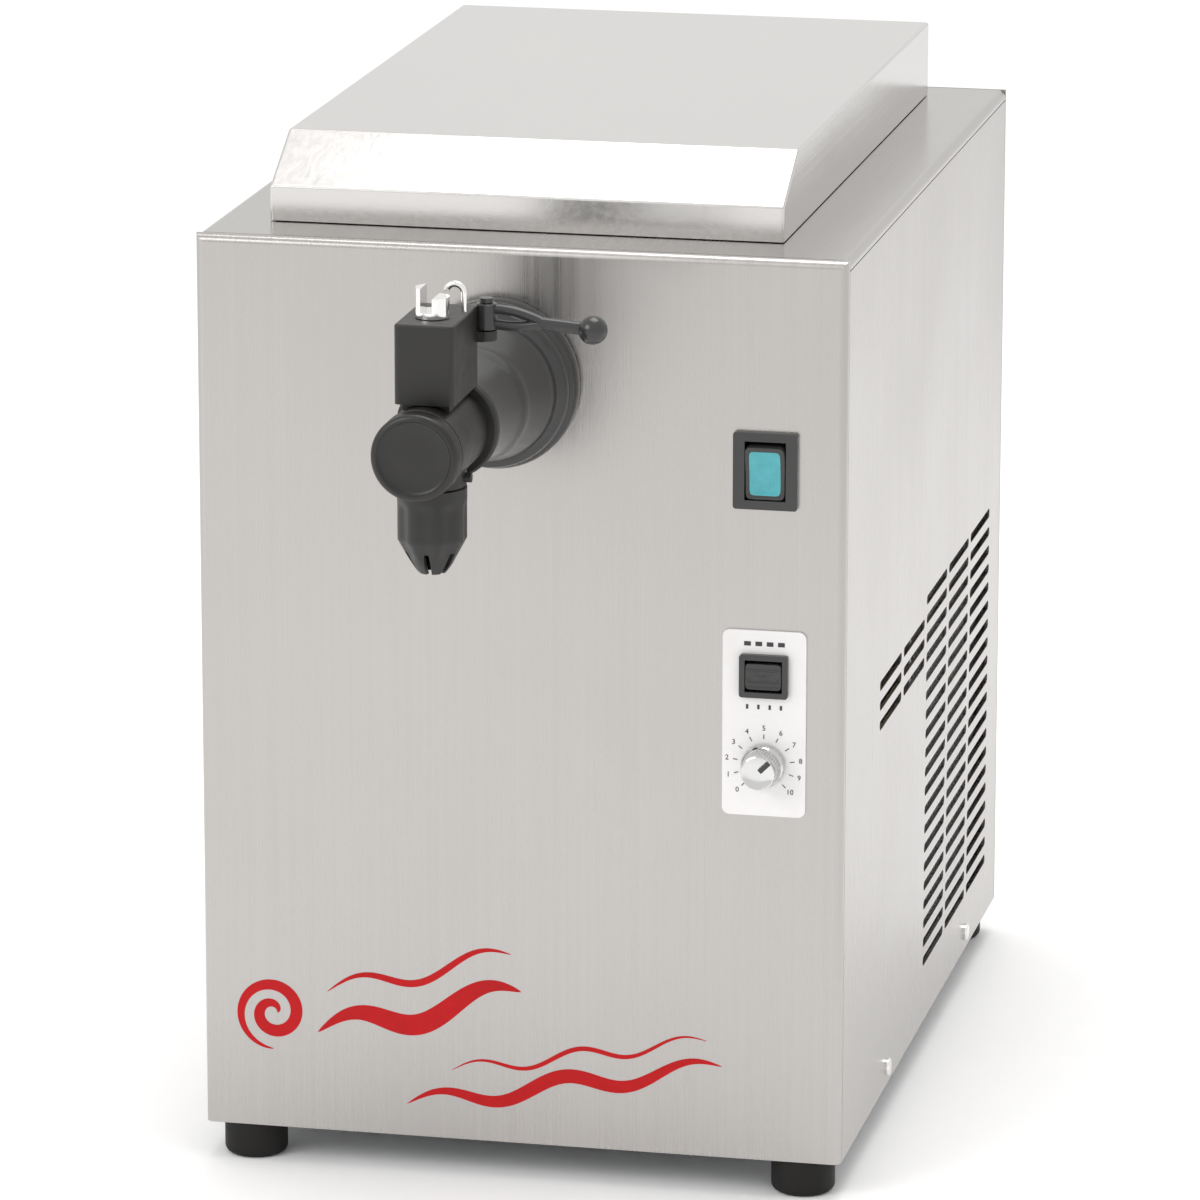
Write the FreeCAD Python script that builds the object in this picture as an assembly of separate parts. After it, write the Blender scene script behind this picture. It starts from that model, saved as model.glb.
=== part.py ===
import FreeCAD
import Part
import math
import os

# Counter-top soft serve and whipped cream machine, in millimetres.
# Frame: +Z up, the front panel faces -Y, origin on the floor under the middle of the overall box.

V = FreeCAD.Vector

# ---- driving dimensions: cabinet ----
CABINET_W = 255.0
CABINET_D = 375.0
CABINET_H = 358.0
FOOT_H = 15.0
FOOT_R = 12.5
FOOT_INSET_X = 17.0
FOOT_INSET_Y = 13.5
SHEET = 1.5
LIP = 4.0
BEND_R = 3.0
SEAM = 0.4
FIT = 0.3
RUNNING = 0.05
FLANGE = 14.0
TRAY_WALL_H = 18.0
SCREW_R = 1.8
SCREW_HEAD_R = 3.6
SCREW_HEAD_H = 1.8
SCREW_LENGTH = 8.0
SIDE_SCREW_FRONT = 102.0
SIDE_SCREW_BACK = 292.0
SIDE_SCREW_Z = 8.0

# ---- driving dimensions: lid and chilled well ----
LID_MARGIN_LEFT = 22.0
LID_MARGIN_RIGHT = 30.5
LID_MARGIN_FRONT = 30.0
LID_MARGIN_BACK = 21.0
LID_H = 31.0
LID_SKIRT_H = 14.0
LID_BEVEL = 30.0
LID_OVERLAP = 14.0
COLLAR_H = 8.0
WELL_DEPTH = 170.0
WELL_CORNER_R = 18.0
RIM = 5.0
COIL_R = 3.0
COIL_TURNS = 5
COIL_GAP = 8.0
FOAM = 12.0
GASKET = 4.0

# ---- driving dimensions: cream tank, pump and drive ----
TANK_GAP = 6.0
PUMP_BAY_D = 64.4
TANK_WALL = 1.5
TANK_H = 164.0
GEAR_MODULE = 2.0
GEAR_TEETH = 12
GEAR_H = 14.0
GEAR_SIDE_GAP = 0.3
BACKLASH_DEG = 1.2
PUMP_WALL = 7.0
PUMP_SETBACK = 32.0
PUMP_COVER_H = 8.0
SHAFT_R = 4.0
PORT_R = 5.0
PORT_SPREAD = 11.0
TUBE_R = 5.0
TUBE_BORE_R = 3.5
MIXER_R = 11.0
MIXER_BORE_R = 8.5
MOTOR_R = 30.0
MOTOR_H = 92.0
GEARBOX_H = 26.0

# ---- driving dimensions: tap ----
TAP_FROM_LEFT = 119.0
TAP_HEIGHT = 306.0
TAP_REACH = 135.0
TAP_R = 16.0
CAP_R = 16.5
CAP_T = 12.0
CAP_FACE_R = 14.0
CAP_SPIGOT_R = 5.0
CAP_SPIGOT_L = 3.5
CAP_GROOVE = 0.8
TAP_FLANGE_R = 19.5
TAP_FLANGE_T = 4.0
TAP_BODY_L = 40.0
SPIGOT_R = 12.0
COLLAR_R = 33.0
NOZZLE_SETBACK = 29.0
NOZZLE_R = 13.0
NOZZLE_H = 33.0
NOZZLE_TAPER_H = 13.0
NOZZLE_WALL = 2.2
NOZZLE_FLUTE_R = 1.3
NOZZLE_FLUTE_STOP = 6.0
NOZZLE_SLOT_W = 1.8
NOZZLE_SLOT_H = 9.0
NOZZLE_TIP_R = 5.5
NOZZLE_BORE_R = 9.7
NOZZLE_FLUTES = 12
NOZZLE_SLOTS = 6
BLOCK_W = 22.6
BLOCK_D = 40.0
BLOCK_H = 30.0
BLOCK_SETBACK = 16.4
BLOCK_GAP = 0.4
SPINDLE_R = 6.3
SPINDLE_STEM_R = 3.0
PIN_R = 1.5
LEVER_REACH = 40.4
LEVER_DROP = 3.8
LEVER_FORK = 0.55
LEVER_BALL_R = 5.5
LEVER_ROD_R = 2.4
LEVER_HUB_R = 4.0
LEVER_HUB_H = 10.0

# ---- driving dimensions: controls ----
SWITCH_FROM_RIGHT = 31.0
MAIN_SWITCH_Z = 276.0
MAIN_BEZEL_W = 25.0
MAIN_BEZEL_H = 30.0
MODE_SWITCH_Z = 195.5
MODE_BEZEL_W = 19.0
MODE_BEZEL_H = 17.0
BEZEL_T = 2.2
BEZEL_BORDER = 4.5
MODE_BEZEL_BORDER = 2.2
SWITCH_DEPTH = 17.0
ROCKER_TILT = 6.0
PLATE_W = 32.6
PLATE_H = 73.5
PLATE_T = 1.0
PLATE_R = 3.0
PLATE_Z = 176.5
DIAL_Z = 160.0
KNOB_R = 8.5
KNOB_H = 12.0
POT_SHAFT_R = 3.0
POINTER_DEG = 45.0

# ---- driving dimensions: vents and rear ----
SLOT_L = 49.0
SLOT_H = 3.9
SLOT_PITCH_Y = 54.0
SLOT_PITCH_Z = 8.1
SLOT_FIRST_Y = 79.0
SLOT_FIRST_Z = 26.0
SLOT_ROWS = 20
SLOT_COLUMNS = 5
SLOT_SHORT_COLUMNS = 2
SLOT_SHORT_ROWS = (16, 17, 18)
INLET_W = 28.0
INLET_H = 24.0
INLET_PROUD = 3.0
INLET_DEPTH = 20.0

# ---- driving dimensions: cooling circuit and electrics ----
COMPRESSOR_R = 52.0
COMPRESSOR_H = 128.0
CONDENSER_T = 22.0
CONDENSER_FINS = 26
FIN_T = 0.8
FAN_R = 60.0
FAN_BLADES = 5
LINE_R = 3.0
DRIER_R = 10.0
DRIER_H = 80.0
BOARD_T = 1.6

# ---- places worked out from the driving dimensions ----
X_LEFT = -CABINET_W / 2
X_RIGHT = CABINET_W / 2
Y_FRONT = (TAP_REACH - CABINET_D - INLET_PROUD) / 2
Y_BACK = Y_FRONT + CABINET_D
Z_BASE = FOOT_H
Z_TOP = FOOT_H + CABINET_H
Z_TRAY = Z_BASE + SHEET

LID_X0 = X_LEFT + LID_MARGIN_LEFT
LID_X1 = X_RIGHT - LID_MARGIN_RIGHT
LID_Y0 = Y_FRONT + LID_MARGIN_FRONT
LID_Y1 = Y_BACK - LID_MARGIN_BACK

WELL_X0 = LID_X0 + LID_OVERLAP
WELL_X1 = LID_X1 - LID_OVERLAP
WELL_Y0 = LID_Y0 + LID_OVERLAP
WELL_Y1 = LID_Y1 - LID_OVERLAP
WELL_FLOOR = Z_TOP - WELL_DEPTH
FOAM_BOTTOM = WELL_FLOOR - SHEET - FOAM - FIT

TAP_X = X_LEFT + TAP_FROM_LEFT
TAP_Z = Z_BASE + TAP_HEIGHT
CAP_Y = Y_FRONT - TAP_REACH
BODY_Y0 = CAP_Y + CAP_T
BODY_Y1 = BODY_Y0 + TAP_BODY_L
NOZZLE_Y = CAP_Y + NOZZLE_SETBACK
NOZZLE_TOP = TAP_Z - TAP_R - FIT
BLOCK_Z0 = TAP_Z + TAP_R + BLOCK_GAP
BLOCK_Z1 = BLOCK_Z0 + BLOCK_H
BLOCK_Y0 = CAP_Y + BLOCK_SETBACK
BLOCK_Y1 = BLOCK_Y0 + BLOCK_D
BLOCK_X0 = TAP_X - BLOCK_W / 2
BLOCK_X1 = TAP_X + BLOCK_W / 2

SWITCH_X = X_RIGHT - SWITCH_FROM_RIGHT
GEAR_PITCH_R = GEAR_MODULE * GEAR_TEETH / 2
GEAR_TIP_R = GEAR_PITCH_R + 0.85 * GEAR_MODULE
GEAR_ROOT_R = GEAR_PITCH_R - 1.2 * GEAR_MODULE
DRIVE_X = TAP_X + GEAR_PITCH_R
IDLER_X = TAP_X - GEAR_PITCH_R
PUMP_Y = WELL_Y0 + PUMP_SETBACK
PUMP_Z0 = WELL_FLOOR + FIT
GEAR_Z0 = PUMP_Z0 + PUMP_WALL + GEAR_SIDE_GAP
COVER_Z0 = PUMP_Z0 + PUMP_WALL + GEAR_H + 2 * GEAR_SIDE_GAP
COVER_Z1 = COVER_Z0 + PUMP_COVER_H
OUTLET_Y = PUMP_Y - PORT_SPREAD
INTAKE_Y = PUMP_Y + PORT_SPREAD


# ---- shape helpers ----
def box(x0, x1, y0, y1, z0, z1):
    """A plain box between two corners."""
    return Part.makeBox(x1 - x0, y1 - y0, z1 - z0, V(x0, y0, z0))


def upright(x, y, z0, z1, r):
    """A cylinder standing along +Z."""
    return Part.makeCylinder(r, z1 - z0, V(x, y, z0))


def along_y(x, z, y0, y1, r):
    """A cylinder lying along +Y."""
    return Part.makeCylinder(r, y1 - y0, V(x, y0, z), V(0, 1, 0))


def along_x(y, z, x0, x1, r):
    """A cylinder lying along +X."""
    return Part.makeCylinder(r, x1 - x0, V(x0, y, z), V(1, 0, 0))


def join(shapes):
    """Fuse a list of solids that touch or cross into one clean solid."""
    first, rest = shapes[0], shapes[1:]
    return first.multiFuse(rest).removeSplitter() if rest else first


def group(shapes):
    """Several separate solids kept in one node."""
    return Part.Compound(shapes)


def edges_along(shape, axis):
    """The straight edges of a solid that run along one axis."""
    found = []
    for edge in shape.Edges:
        if len(edge.Vertexes) != 2:
            continue
        run = edge.Vertexes[1].Point.sub(edge.Vertexes[0].Point)
        if run.Length > 1e-6 and abs(abs(run.dot(axis)) / run.Length - 1) < 1e-6:
            found.append(edge)
    return found


def round_edges(shape, r, axis):
    """Round every straight edge that runs along one axis."""
    return shape.makeFillet(r, edges_along(shape, axis))


def tub(x0, x1, y0, y1, z0, z1, r, wall):
    """An open-topped tub with rounded corners: outer box less an inner box."""
    outer = round_edges(box(x0, x1, y0, y1, z0, z1), r, V(0, 0, 1))
    inner = box(x0 + wall, x1 - wall, y0 + wall, y1 - wall, z0 + wall, z1 + wall)
    return outer.cut(round_edges(inner, r - wall, V(0, 0, 1)))


def frame_ring(x0, x1, y0, y1, z0, z1, r, width):
    """A flat rectangular ring, its width measured outwards from the inner edge."""
    outer = box(x0 - width, x1 + width, y0 - width, y1 + width, z0, z1)
    inner = box(x0, x1, y0, y1, z0 - 1, z1 + 1)
    return round_edges(outer, r + width, V(0, 0, 1)).cut(round_edges(inner, r, V(0, 0, 1)))


def lathe(profile, base, axis):
    """Turn a closed outline of (distance along the axis, radius) pairs about the axis."""
    side = V(0, 0, 1) if abs(axis.z) < 0.5 else V(1, 0, 0)
    points = [base + axis * a + side * r for a, r in profile]
    face = Part.Face(Part.makePolygon(points + [points[0]]))
    return face.revolve(base, axis, 360)


def slot_y(x0, x1, y0, z, length, height):
    """A round-ended slot cutter that runs along Y and cuts through along X."""
    r = height / 2
    middle = box(x0, x1, y0 + r, y0 + length - r, z - r, z + r)
    ends = [along_x(y, z, x0, x1, r) for y in (y0 + r, y0 + length - r)]
    return middle.multiFuse(ends).removeSplitter()


def pipe(points, bend, r):
    """A round bar along straight runs joined by tangent arcs of one bend radius."""
    edges = []
    start = points[0]
    for before, corner, after in zip(points, points[1:], points[2:]):
        u = before.sub(corner).normalize()
        w = after.sub(corner).normalize()
        half = math.acos(max(-1.0, min(1.0, u.dot(w)))) / 2
        back = bend / math.tan(half)
        a = corner + u * back
        b = corner + w * back
        centre = corner + (u + w).normalize() * (bend / math.sin(half))
        middle = centre + corner.sub(centre).normalize() * bend
        edges.append(Part.makeLine(start, a))
        edges.append(Part.Arc(a, middle, b).toShape())
        start = b
    edges.append(Part.makeLine(start, points[-1]))
    path = Part.Wire(edges)
    ring = Part.Wire(Part.makeCircle(r, points[0], points[1].sub(points[0])))
    return path.makePipeShell([ring], True, True)


def tube(points, bend, r, bore):
    """A hollow pipe along straight runs and tangent arcs."""
    return pipe(points, bend, r).cut(pipe(points, bend, bore))


# ---- cabinet ----
def folded_panel(y_face, y_inner):
    """A front or rear sheet with bent side and top lips and inner screw flanges."""
    lip_y = y_face + LIP * y_inner
    low, high = sorted((y_face, lip_y))
    shell = box(X_LEFT, X_RIGHT, low, high, Z_BASE, Z_TOP)
    bends = [e for e in shell.Edges if abs(e.CenterOfMass.y - y_face) < 1e-6]
    bends = [e for e in bends if abs(e.CenterOfMass.z - Z_BASE) > 1e-6]
    shell = shell.makeFillet(BEND_R, bends)
    in_y = y_face + SHEET * y_inner
    low, high = sorted((in_y, lip_y + y_inner))
    shell = shell.cut(box(X_LEFT + SHEET, X_RIGHT - SHEET, low, high, Z_BASE - 1, Z_TOP - SHEET))
    low, high = sorted((in_y, y_face + FLANGE * y_inner))
    z0 = Z_TRAY + TRAY_WALL_H + 1
    z1 = Z_TOP - FLANGE
    inset = SHEET + FIT
    left = box(X_LEFT + inset, X_LEFT + inset + SHEET, low, high, z0, z1)
    right = box(X_RIGHT - inset - SHEET, X_RIGHT - inset, low, high, z0, z1)
    return join([shell, left, right])


def switch_window(z, width, height, border):
    """The cutter for a switch body behind its bezel."""
    w = width / 2 - border + FIT
    h = height / 2 - border + FIT
    zc = Z_BASE + z
    return box(SWITCH_X - w, SWITCH_X + w, Y_FRONT - 5, Y_FRONT + 5, zc - h, zc + h)


def front_panel():
    panel = folded_panel(Y_FRONT, 1)
    tap_hole = along_y(TAP_X, TAP_Z, Y_FRONT - 1, Y_FRONT + 5, SPIGOT_R + FIT)
    shaft_hole = along_y(SWITCH_X, Z_BASE + DIAL_Z, Y_FRONT - 1, Y_FRONT + 5, POT_SHAFT_R + 1.5)
    cuts = [
        tap_hole,
        shaft_hole,
        switch_window(MAIN_SWITCH_Z, MAIN_BEZEL_W, MAIN_BEZEL_H, 1.5),
        switch_window(MODE_SWITCH_Z, MODE_BEZEL_W, MODE_BEZEL_H, 1.5),
    ]
    return panel.cut(group(cuts))


def side_sheet(x0):
    """A flat side sheet between the front and rear lips, below the top plate's lip."""
    y0 = Y_FRONT + LIP + SEAM
    y1 = Y_BACK - LIP - SEAM
    sheet = box(x0, x0 + SHEET, y0, y1, Z_BASE, Z_TOP - LIP - SEAM)
    holes = [along_x(y, Z_BASE + SIDE_SCREW_Z, x0 - 1, x0 + SHEET + 1, SCREW_R + FIT)
             for y in (Y_FRONT + SIDE_SCREW_FRONT, Y_FRONT + SIDE_SCREW_BACK)]
    return sheet.cut(group(holes))


def side_panel_left():
    return side_sheet(X_LEFT)


def side_panel_right():
    """The vented side: tall columns of slots with a few short columns ahead of them."""
    x0 = X_RIGHT - SHEET
    slots = []
    for row in range(SLOT_ROWS):
        for column in range(SLOT_COLUMNS):
            if column < SLOT_SHORT_COLUMNS and row not in SLOT_SHORT_ROWS:
                continue
            y = Y_FRONT + SLOT_FIRST_Y + column * SLOT_PITCH_Y
            z = Z_BASE + SLOT_FIRST_Z + row * SLOT_PITCH_Z
            slots.append(slot_y(x0 - 1, x0 + SHEET + 1, y, z, SLOT_L, SLOT_H))
    return side_sheet(x0).cut(group(slots))


def rear_slot(x, z):
    """A vertical-face slot cutter that runs along X through the rear sheet."""
    r = SLOT_H / 2
    y0, y1 = Y_BACK - LIP - 1, Y_BACK + 1
    middle = box(x + r, x + SLOT_L - r, y0, y1, z - r, z + r)
    ends = [along_y(xe, z, y0, y1, r) for xe in (x + r, x + SLOT_L - r)]
    return middle.multiFuse(ends).removeSplitter()


INLET_X = X_LEFT + 45.0
INLET_Z = Z_BASE + 45.0
REAR_SLOT_ROWS = 14
REAR_SLOT_X = (-60.0, -6.0, 48.0)
REAR_SLOT_Z = Z_BASE + 70.0


def rear_panel():
    panel = folded_panel(Y_BACK, -1)
    slots = [rear_slot(x, REAR_SLOT_Z + row * SLOT_PITCH_Z)
             for x in REAR_SLOT_X for row in range(REAR_SLOT_ROWS)]
    w, h = INLET_W / 2 + FIT, INLET_H / 2 + FIT
    slots.append(box(INLET_X - w, INLET_X + w, Y_BACK - 5, Y_BACK + 1, INLET_Z - h, INLET_Z + h))
    return panel.cut(group(slots))


def top_plate():
    """The top sheet with side lips and a raised collar round the well."""
    y0 = Y_FRONT + LIP + SEAM
    y1 = Y_BACK - LIP - SEAM
    shell = box(X_LEFT, X_RIGHT, y0, y1, Z_TOP - LIP, Z_TOP)
    bends = [e for e in edges_along(shell, V(0, 1, 0)) if e.CenterOfMass.z > Z_TOP - 1]
    shell = shell.makeFillet(BEND_R, bends)
    shell = shell.cut(box(X_LEFT + SHEET, X_RIGHT - SHEET, y0 - 1, y1 + 1, Z_TOP - LIP - 1, Z_TOP - SHEET))
    hole = round_edges(box(WELL_X0, WELL_X1, WELL_Y0, WELL_Y1, Z_TOP - LIP, Z_TOP + COLLAR_H + 1),
                       WELL_CORNER_R, V(0, 0, 1))
    collar = frame_ring(WELL_X0, WELL_X1, WELL_Y0, WELL_Y1, Z_TOP - SHEET, Z_TOP + COLLAR_H,
                        WELL_CORNER_R, SHEET)
    return join([shell.cut(hole), collar])


def tray_slot(x, y):
    return box(x, x + 6, y, y + 60, Z_BASE - 1, Z_TRAY + 1)


TRAY_X = CABINET_W / 2 - SHEET - FIT
TRAY_Y0 = Y_FRONT + SHEET + FIT
TRAY_Y1 = Y_BACK - SHEET - FIT
FOOT_PLACES = [(sx * (CABINET_W / 2 - FOOT_INSET_X), y)
               for sx in (-1, 1) for y in (Y_FRONT + FOOT_INSET_Y, Y_BACK - FOOT_INSET_Y)]
BOLT_R = 2.5
BOLT_HEAD_R = 4.5
BOLT_HEAD_H = 4.0
FOOT_RECESS_H = 8.0


def base_tray():
    outer = box(-TRAY_X, TRAY_X, TRAY_Y0, TRAY_Y1, Z_BASE, Z_TRAY + TRAY_WALL_H)
    inner = box(-TRAY_X + SHEET, TRAY_X - SHEET, TRAY_Y0 + SHEET, TRAY_Y1 - SHEET, Z_TRAY, Z_TOP)
    holes = [upright(x, y, Z_BASE - 1, Z_TRAY + 1, BOLT_R + FIT) for x, y in FOOT_PLACES]
    holes += [tray_slot(-60 + 14 * i, Y_FRONT + 150) for i in range(9)]
    holes += [along_x(y, Z_BASE + SIDE_SCREW_Z, -X_RIGHT, X_RIGHT, SCREW_R)
              for y in (Y_FRONT + SIDE_SCREW_FRONT, Y_FRONT + SIDE_SCREW_BACK)]
    return outer.cut(inner).cut(group(holes))


def rubber_foot(x, y):
    foot = upright(x, y, 0, Z_BASE, FOOT_R)
    low = [e for e in foot.Edges if e.CenterOfMass.z < 1e-6]
    foot = foot.makeFillet(3.0, low)
    recess = upright(x, y, -1, FOOT_RECESS_H, BOLT_HEAD_R + 1)
    return foot.cut(recess).cut(upright(x, y, FOOT_RECESS_H - 1, Z_BASE + 1, BOLT_R))


def feet():
    return group([rubber_foot(x, y) for x, y in FOOT_PLACES])


def foot_bolt(x, y):
    """A bolt up through a foot and the tray, with its nut on the tray floor."""
    head = upright(x, y, FOOT_RECESS_H - BOLT_HEAD_H, FOOT_RECESS_H, BOLT_HEAD_R)
    shank = upright(x, y, FOOT_RECESS_H, Z_TRAY + 2 * BOLT_HEAD_H, BOLT_R)
    nut = upright(x, y, Z_TRAY, Z_TRAY + BOLT_HEAD_H, BOLT_HEAD_R)
    return join([head, shank, nut])


def foot_bolts():
    return group([foot_bolt(x, y) for x, y in FOOT_PLACES])


def pan_screw(tip, out):
    """A pan-head screw whose head sits on a face, its shank running inwards."""
    inward = out * -1
    head = Part.makeCylinder(SCREW_HEAD_R, SCREW_HEAD_H, tip, out)
    crown = [e for e in head.Edges if e.CenterOfMass.sub(tip).dot(out) > SCREW_HEAD_H - 0.01]
    head = head.makeFillet(0.9, crown)
    shank = Part.makeCylinder(SCREW_R, SCREW_LENGTH, tip, inward)
    return join([head, shank])


def panel_screws():
    places = []
    for y in (Y_FRONT + SIDE_SCREW_FRONT, Y_FRONT + SIDE_SCREW_BACK):
        places.append((V(X_RIGHT, y, Z_BASE + SIDE_SCREW_Z), V(1, 0, 0)))
        places.append((V(X_LEFT, y, Z_BASE + SIDE_SCREW_Z), V(-1, 0, 0)))
    return group([pan_screw(tip, out) for tip, out in places])


# ---- lid ----
def lid_profile(inset):
    """The lid's side outline, inset by a wall: skirt, front bevel, flat top."""
    slope = math.atan2(LID_H - LID_SKIRT_H, LID_BEVEL)
    top = Z_TOP + LID_H - inset
    skirt = Z_TOP + LID_SKIRT_H + inset * math.tan(slope) - inset / math.cos(slope)
    y_top = LID_Y0 + inset + (top - skirt) / math.tan(slope)
    bottom = Z_TOP + SEAM if inset == 0 else Z_TOP - 1
    corners = [(LID_Y0 + inset, bottom), (LID_Y0 + inset, skirt), (y_top, top),
               (LID_Y1 - inset, top), (LID_Y1 - inset, bottom)]
    points = [V(LID_X0 + inset, y, z) for y, z in corners]
    face = Part.Face(Part.makePolygon(points + [points[0]]))
    return face.extrude(V(LID_X1 - LID_X0 - 2 * inset, 0, 0))


def lid():
    outer = lid_profile(0)
    rounded = [e for e in outer.Edges if e.CenterOfMass.z > Z_TOP + 1]
    return outer.makeFillet(1.2, rounded).cut(lid_profile(SHEET))


def lid_gasket():
    """The rubber strip inside the skirt's foot."""
    w = SHEET + GASKET
    return frame_ring(LID_X0 + w, LID_X1 - w, LID_Y0 + w, LID_Y1 - w, Z_TOP + SEAM, Z_TOP + SEAM + GASKET,
                      0.5, GASKET)


# ---- chilled well ----
LINER_X0, LINER_X1 = WELL_X0 + FIT, WELL_X1 - FIT
LINER_Y0, LINER_Y1 = WELL_Y0 + FIT, WELL_Y1 - FIT
COLLAR_TOP = Z_TOP + COLLAR_H


SEAL_R = 9.0


def well_liner():
    body = tub(LINER_X0, LINER_X1, LINER_Y0, LINER_Y1, WELL_FLOOR - SHEET, COLLAR_TOP + SHEET,
               WELL_CORNER_R - FIT, SHEET)
    rim = frame_ring(LINER_X0, LINER_X1, LINER_Y0, LINER_Y1, COLLAR_TOP, COLLAR_TOP + SHEET,
                     WELL_CORNER_R - FIT, RIM)
    holes = [
        along_y(TAP_X, TAP_Z, LINER_Y0 - 1, LINER_Y0 + SHEET + 1, MIXER_R + FIT),
        upright(DRIVE_X, PUMP_Y, WELL_FLOOR - SHEET - 1, WELL_FLOOR + 1, SEAL_R),
    ]
    return join([body, rim]).cut(group(holes))


def well_foam():
    """Foam round the well, hollow where the cooling coil sits."""
    g = SHEET + COIL_GAP
    outer = box(LINER_X0 - g - FOAM, LINER_X1 + g + FOAM, LINER_Y0 - g - FOAM, LINER_Y1 + g + FOAM,
                FOAM_BOTTOM, Z_TOP - SHEET - FIT)
    inner = box(LINER_X0 - COIL_GAP, LINER_X1 + COIL_GAP, LINER_Y0 - COIL_GAP, LINER_Y1 + COIL_GAP,
                WELL_FLOOR - SHEET - FIT, Z_TOP)
    inner = round_edges(inner, WELL_CORNER_R, V(0, 0, 1))
    holes = [
        along_y(TAP_X, TAP_Z, LINER_Y0 - 40, LINER_Y0, MIXER_R + FIT),
        upright(DRIVE_X, PUMP_Y, FOAM_BOTTOM - 1, WELL_FLOOR, SEAL_R + FIT),
        line_hole(),
    ]
    return outer.cut(inner).cut(group(holes))


COIL_X0, COIL_X1 = LINER_X0 - COIL_GAP / 2, LINER_X1 + COIL_GAP / 2
COIL_Y0, COIL_Y1 = LINER_Y0 - COIL_GAP / 2, LINER_Y1 + COIL_GAP / 2
COIL_STEP = 18.0
COIL_SEAM = 0.01
COIL_Z0 = WELL_FLOOR + 12.0
LINE_X = 20.0


def line_hole():
    """The hole where the refrigerant lines come up through the foam floor."""
    return upright(LINE_X, COIL_Y1, FOAM_BOTTOM - 1, COIL_Z0 + 1, LINE_R + 0.2)


def coil_turn(z):
    r = WELL_CORNER_R
    corners = [V(0, COIL_Y1, z), V(COIL_X1, COIL_Y1, z), V(COIL_X1, COIL_Y0, z), V(COIL_X0, COIL_Y0, z),
               V(COIL_X0, COIL_Y1, z), V(-COIL_SEAM, COIL_Y1, z)]
    return pipe(corners, r, COIL_R)


def evaporator_coil():
    turns = [coil_turn(COIL_Z0 + i * COIL_STEP) for i in range(COIL_TURNS)]
    top = COIL_Z0 + (COIL_TURNS - 1) * COIL_STEP
    riser = upright(0, COIL_Y1, COIL_Z0, top, COIL_R * 0.8)
    return join(turns + [riser])


TANK_X0, TANK_X1 = LINER_X0 + SHEET + TANK_GAP, LINER_X1 - SHEET - TANK_GAP
TANK_Y1 = LINER_Y1 - SHEET - TANK_GAP
TANK_Y0 = LINER_Y0 + SHEET + PUMP_BAY_D
TANK_Z0 = WELL_FLOOR + FIT
TANK_TOP = TANK_Z0 + TANK_H


def cream_tank():
    """The lift-out cream tank with a rolled rim."""
    body = tub(TANK_X0, TANK_X1, TANK_Y0, TANK_Y1, TANK_Z0, TANK_TOP, WELL_CORNER_R - TANK_WALL, TANK_WALL)
    rim = frame_ring(TANK_X0 + TANK_WALL, TANK_X1 - TANK_WALL, TANK_Y0 + TANK_WALL, TANK_Y1 - TANK_WALL,
                     TANK_TOP - TANK_WALL, TANK_TOP, WELL_CORNER_R - 2 * TANK_WALL, 4.5)
    return join([body, rim])


# ---- pump and drive ----
PUMP_X0, PUMP_X1 = IDLER_X - GEAR_TIP_R - PUMP_WALL, DRIVE_X + GEAR_TIP_R + PUMP_WALL
PUMP_Y0, PUMP_Y1 = PUMP_Y - GEAR_TIP_R - PUMP_WALL, PUMP_Y + GEAR_TIP_R + PUMP_WALL
PUMP_PIN_R = 2.5
PUMP_PIN_INSET = 5.0


def pump_corners():
    d = PUMP_PIN_INSET
    return [(x, y) for x in (PUMP_X0 + d, PUMP_X1 - d) for y in (PUMP_Y0 + d, PUMP_Y1 - d)]


def gear(x, y, phase_deg, bore):
    """A spur gear: each tooth is a tapered four-point bump on the root circle."""
    pitch = 360.0 / GEAR_TEETH
    half_root = pitch * 0.33
    half_pitch = pitch / 4 - BACKLASH_DEG / 2
    half_tip = pitch * 0.09
    steps = [(-half_root, GEAR_ROOT_R), (-half_pitch, GEAR_PITCH_R), (-half_tip, GEAR_TIP_R),
             (half_tip, GEAR_TIP_R), (half_pitch, GEAR_PITCH_R), (half_root, GEAR_ROOT_R)]
    points = []
    for tooth in range(GEAR_TEETH):
        for turn, r in steps:
            a = math.radians(phase_deg + tooth * pitch + turn)
            points.append(V(x + r * math.cos(a), y + r * math.sin(a), GEAR_Z0))
    face = Part.Face(Part.makePolygon(points + [points[0]]))
    return face.extrude(V(0, 0, GEAR_H)).cut(upright(x, y, GEAR_Z0 - 1, GEAR_Z0 + GEAR_H + 1, bore))


def drive_gear():
    return gear(DRIVE_X, PUMP_Y, 0, SHAFT_R)


def idler_gear():
    return gear(IDLER_X, PUMP_Y, 180.0 / GEAR_TEETH, SHAFT_R + RUNNING)


def pump_housing():
    """The pump body: two crossing gear wells, a port pocket each side of the mesh, the idler's post."""
    body = box(PUMP_X0, PUMP_X1, PUMP_Y0, PUMP_Y1, PUMP_Z0, COVER_Z0)
    body = round_edges(body, PUMP_PIN_INSET, V(0, 0, 1))
    z0 = PUMP_Z0 + PUMP_WALL
    cuts = [upright(x, PUMP_Y, z0, COVER_Z0 + 1, GEAR_TIP_R + GEAR_SIDE_GAP) for x in (DRIVE_X, IDLER_X)]
    cuts += [upright(TAP_X, y, z0, COVER_Z0 + 1, PORT_R) for y in (OUTLET_Y, INTAKE_Y)]
    cuts.append(upright(DRIVE_X, PUMP_Y, PUMP_Z0 - 1, z0 + 1, SHAFT_R + RUNNING))
    cuts += [upright(x, y, PUMP_Z0 + 6, COVER_Z0 + 1, PUMP_PIN_R) for x, y in pump_corners()]
    idler_post = upright(IDLER_X, PUMP_Y, PUMP_Z0 + 2, COVER_Z0, SHAFT_R)
    return join([body.cut(group(cuts)), idler_post])


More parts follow.
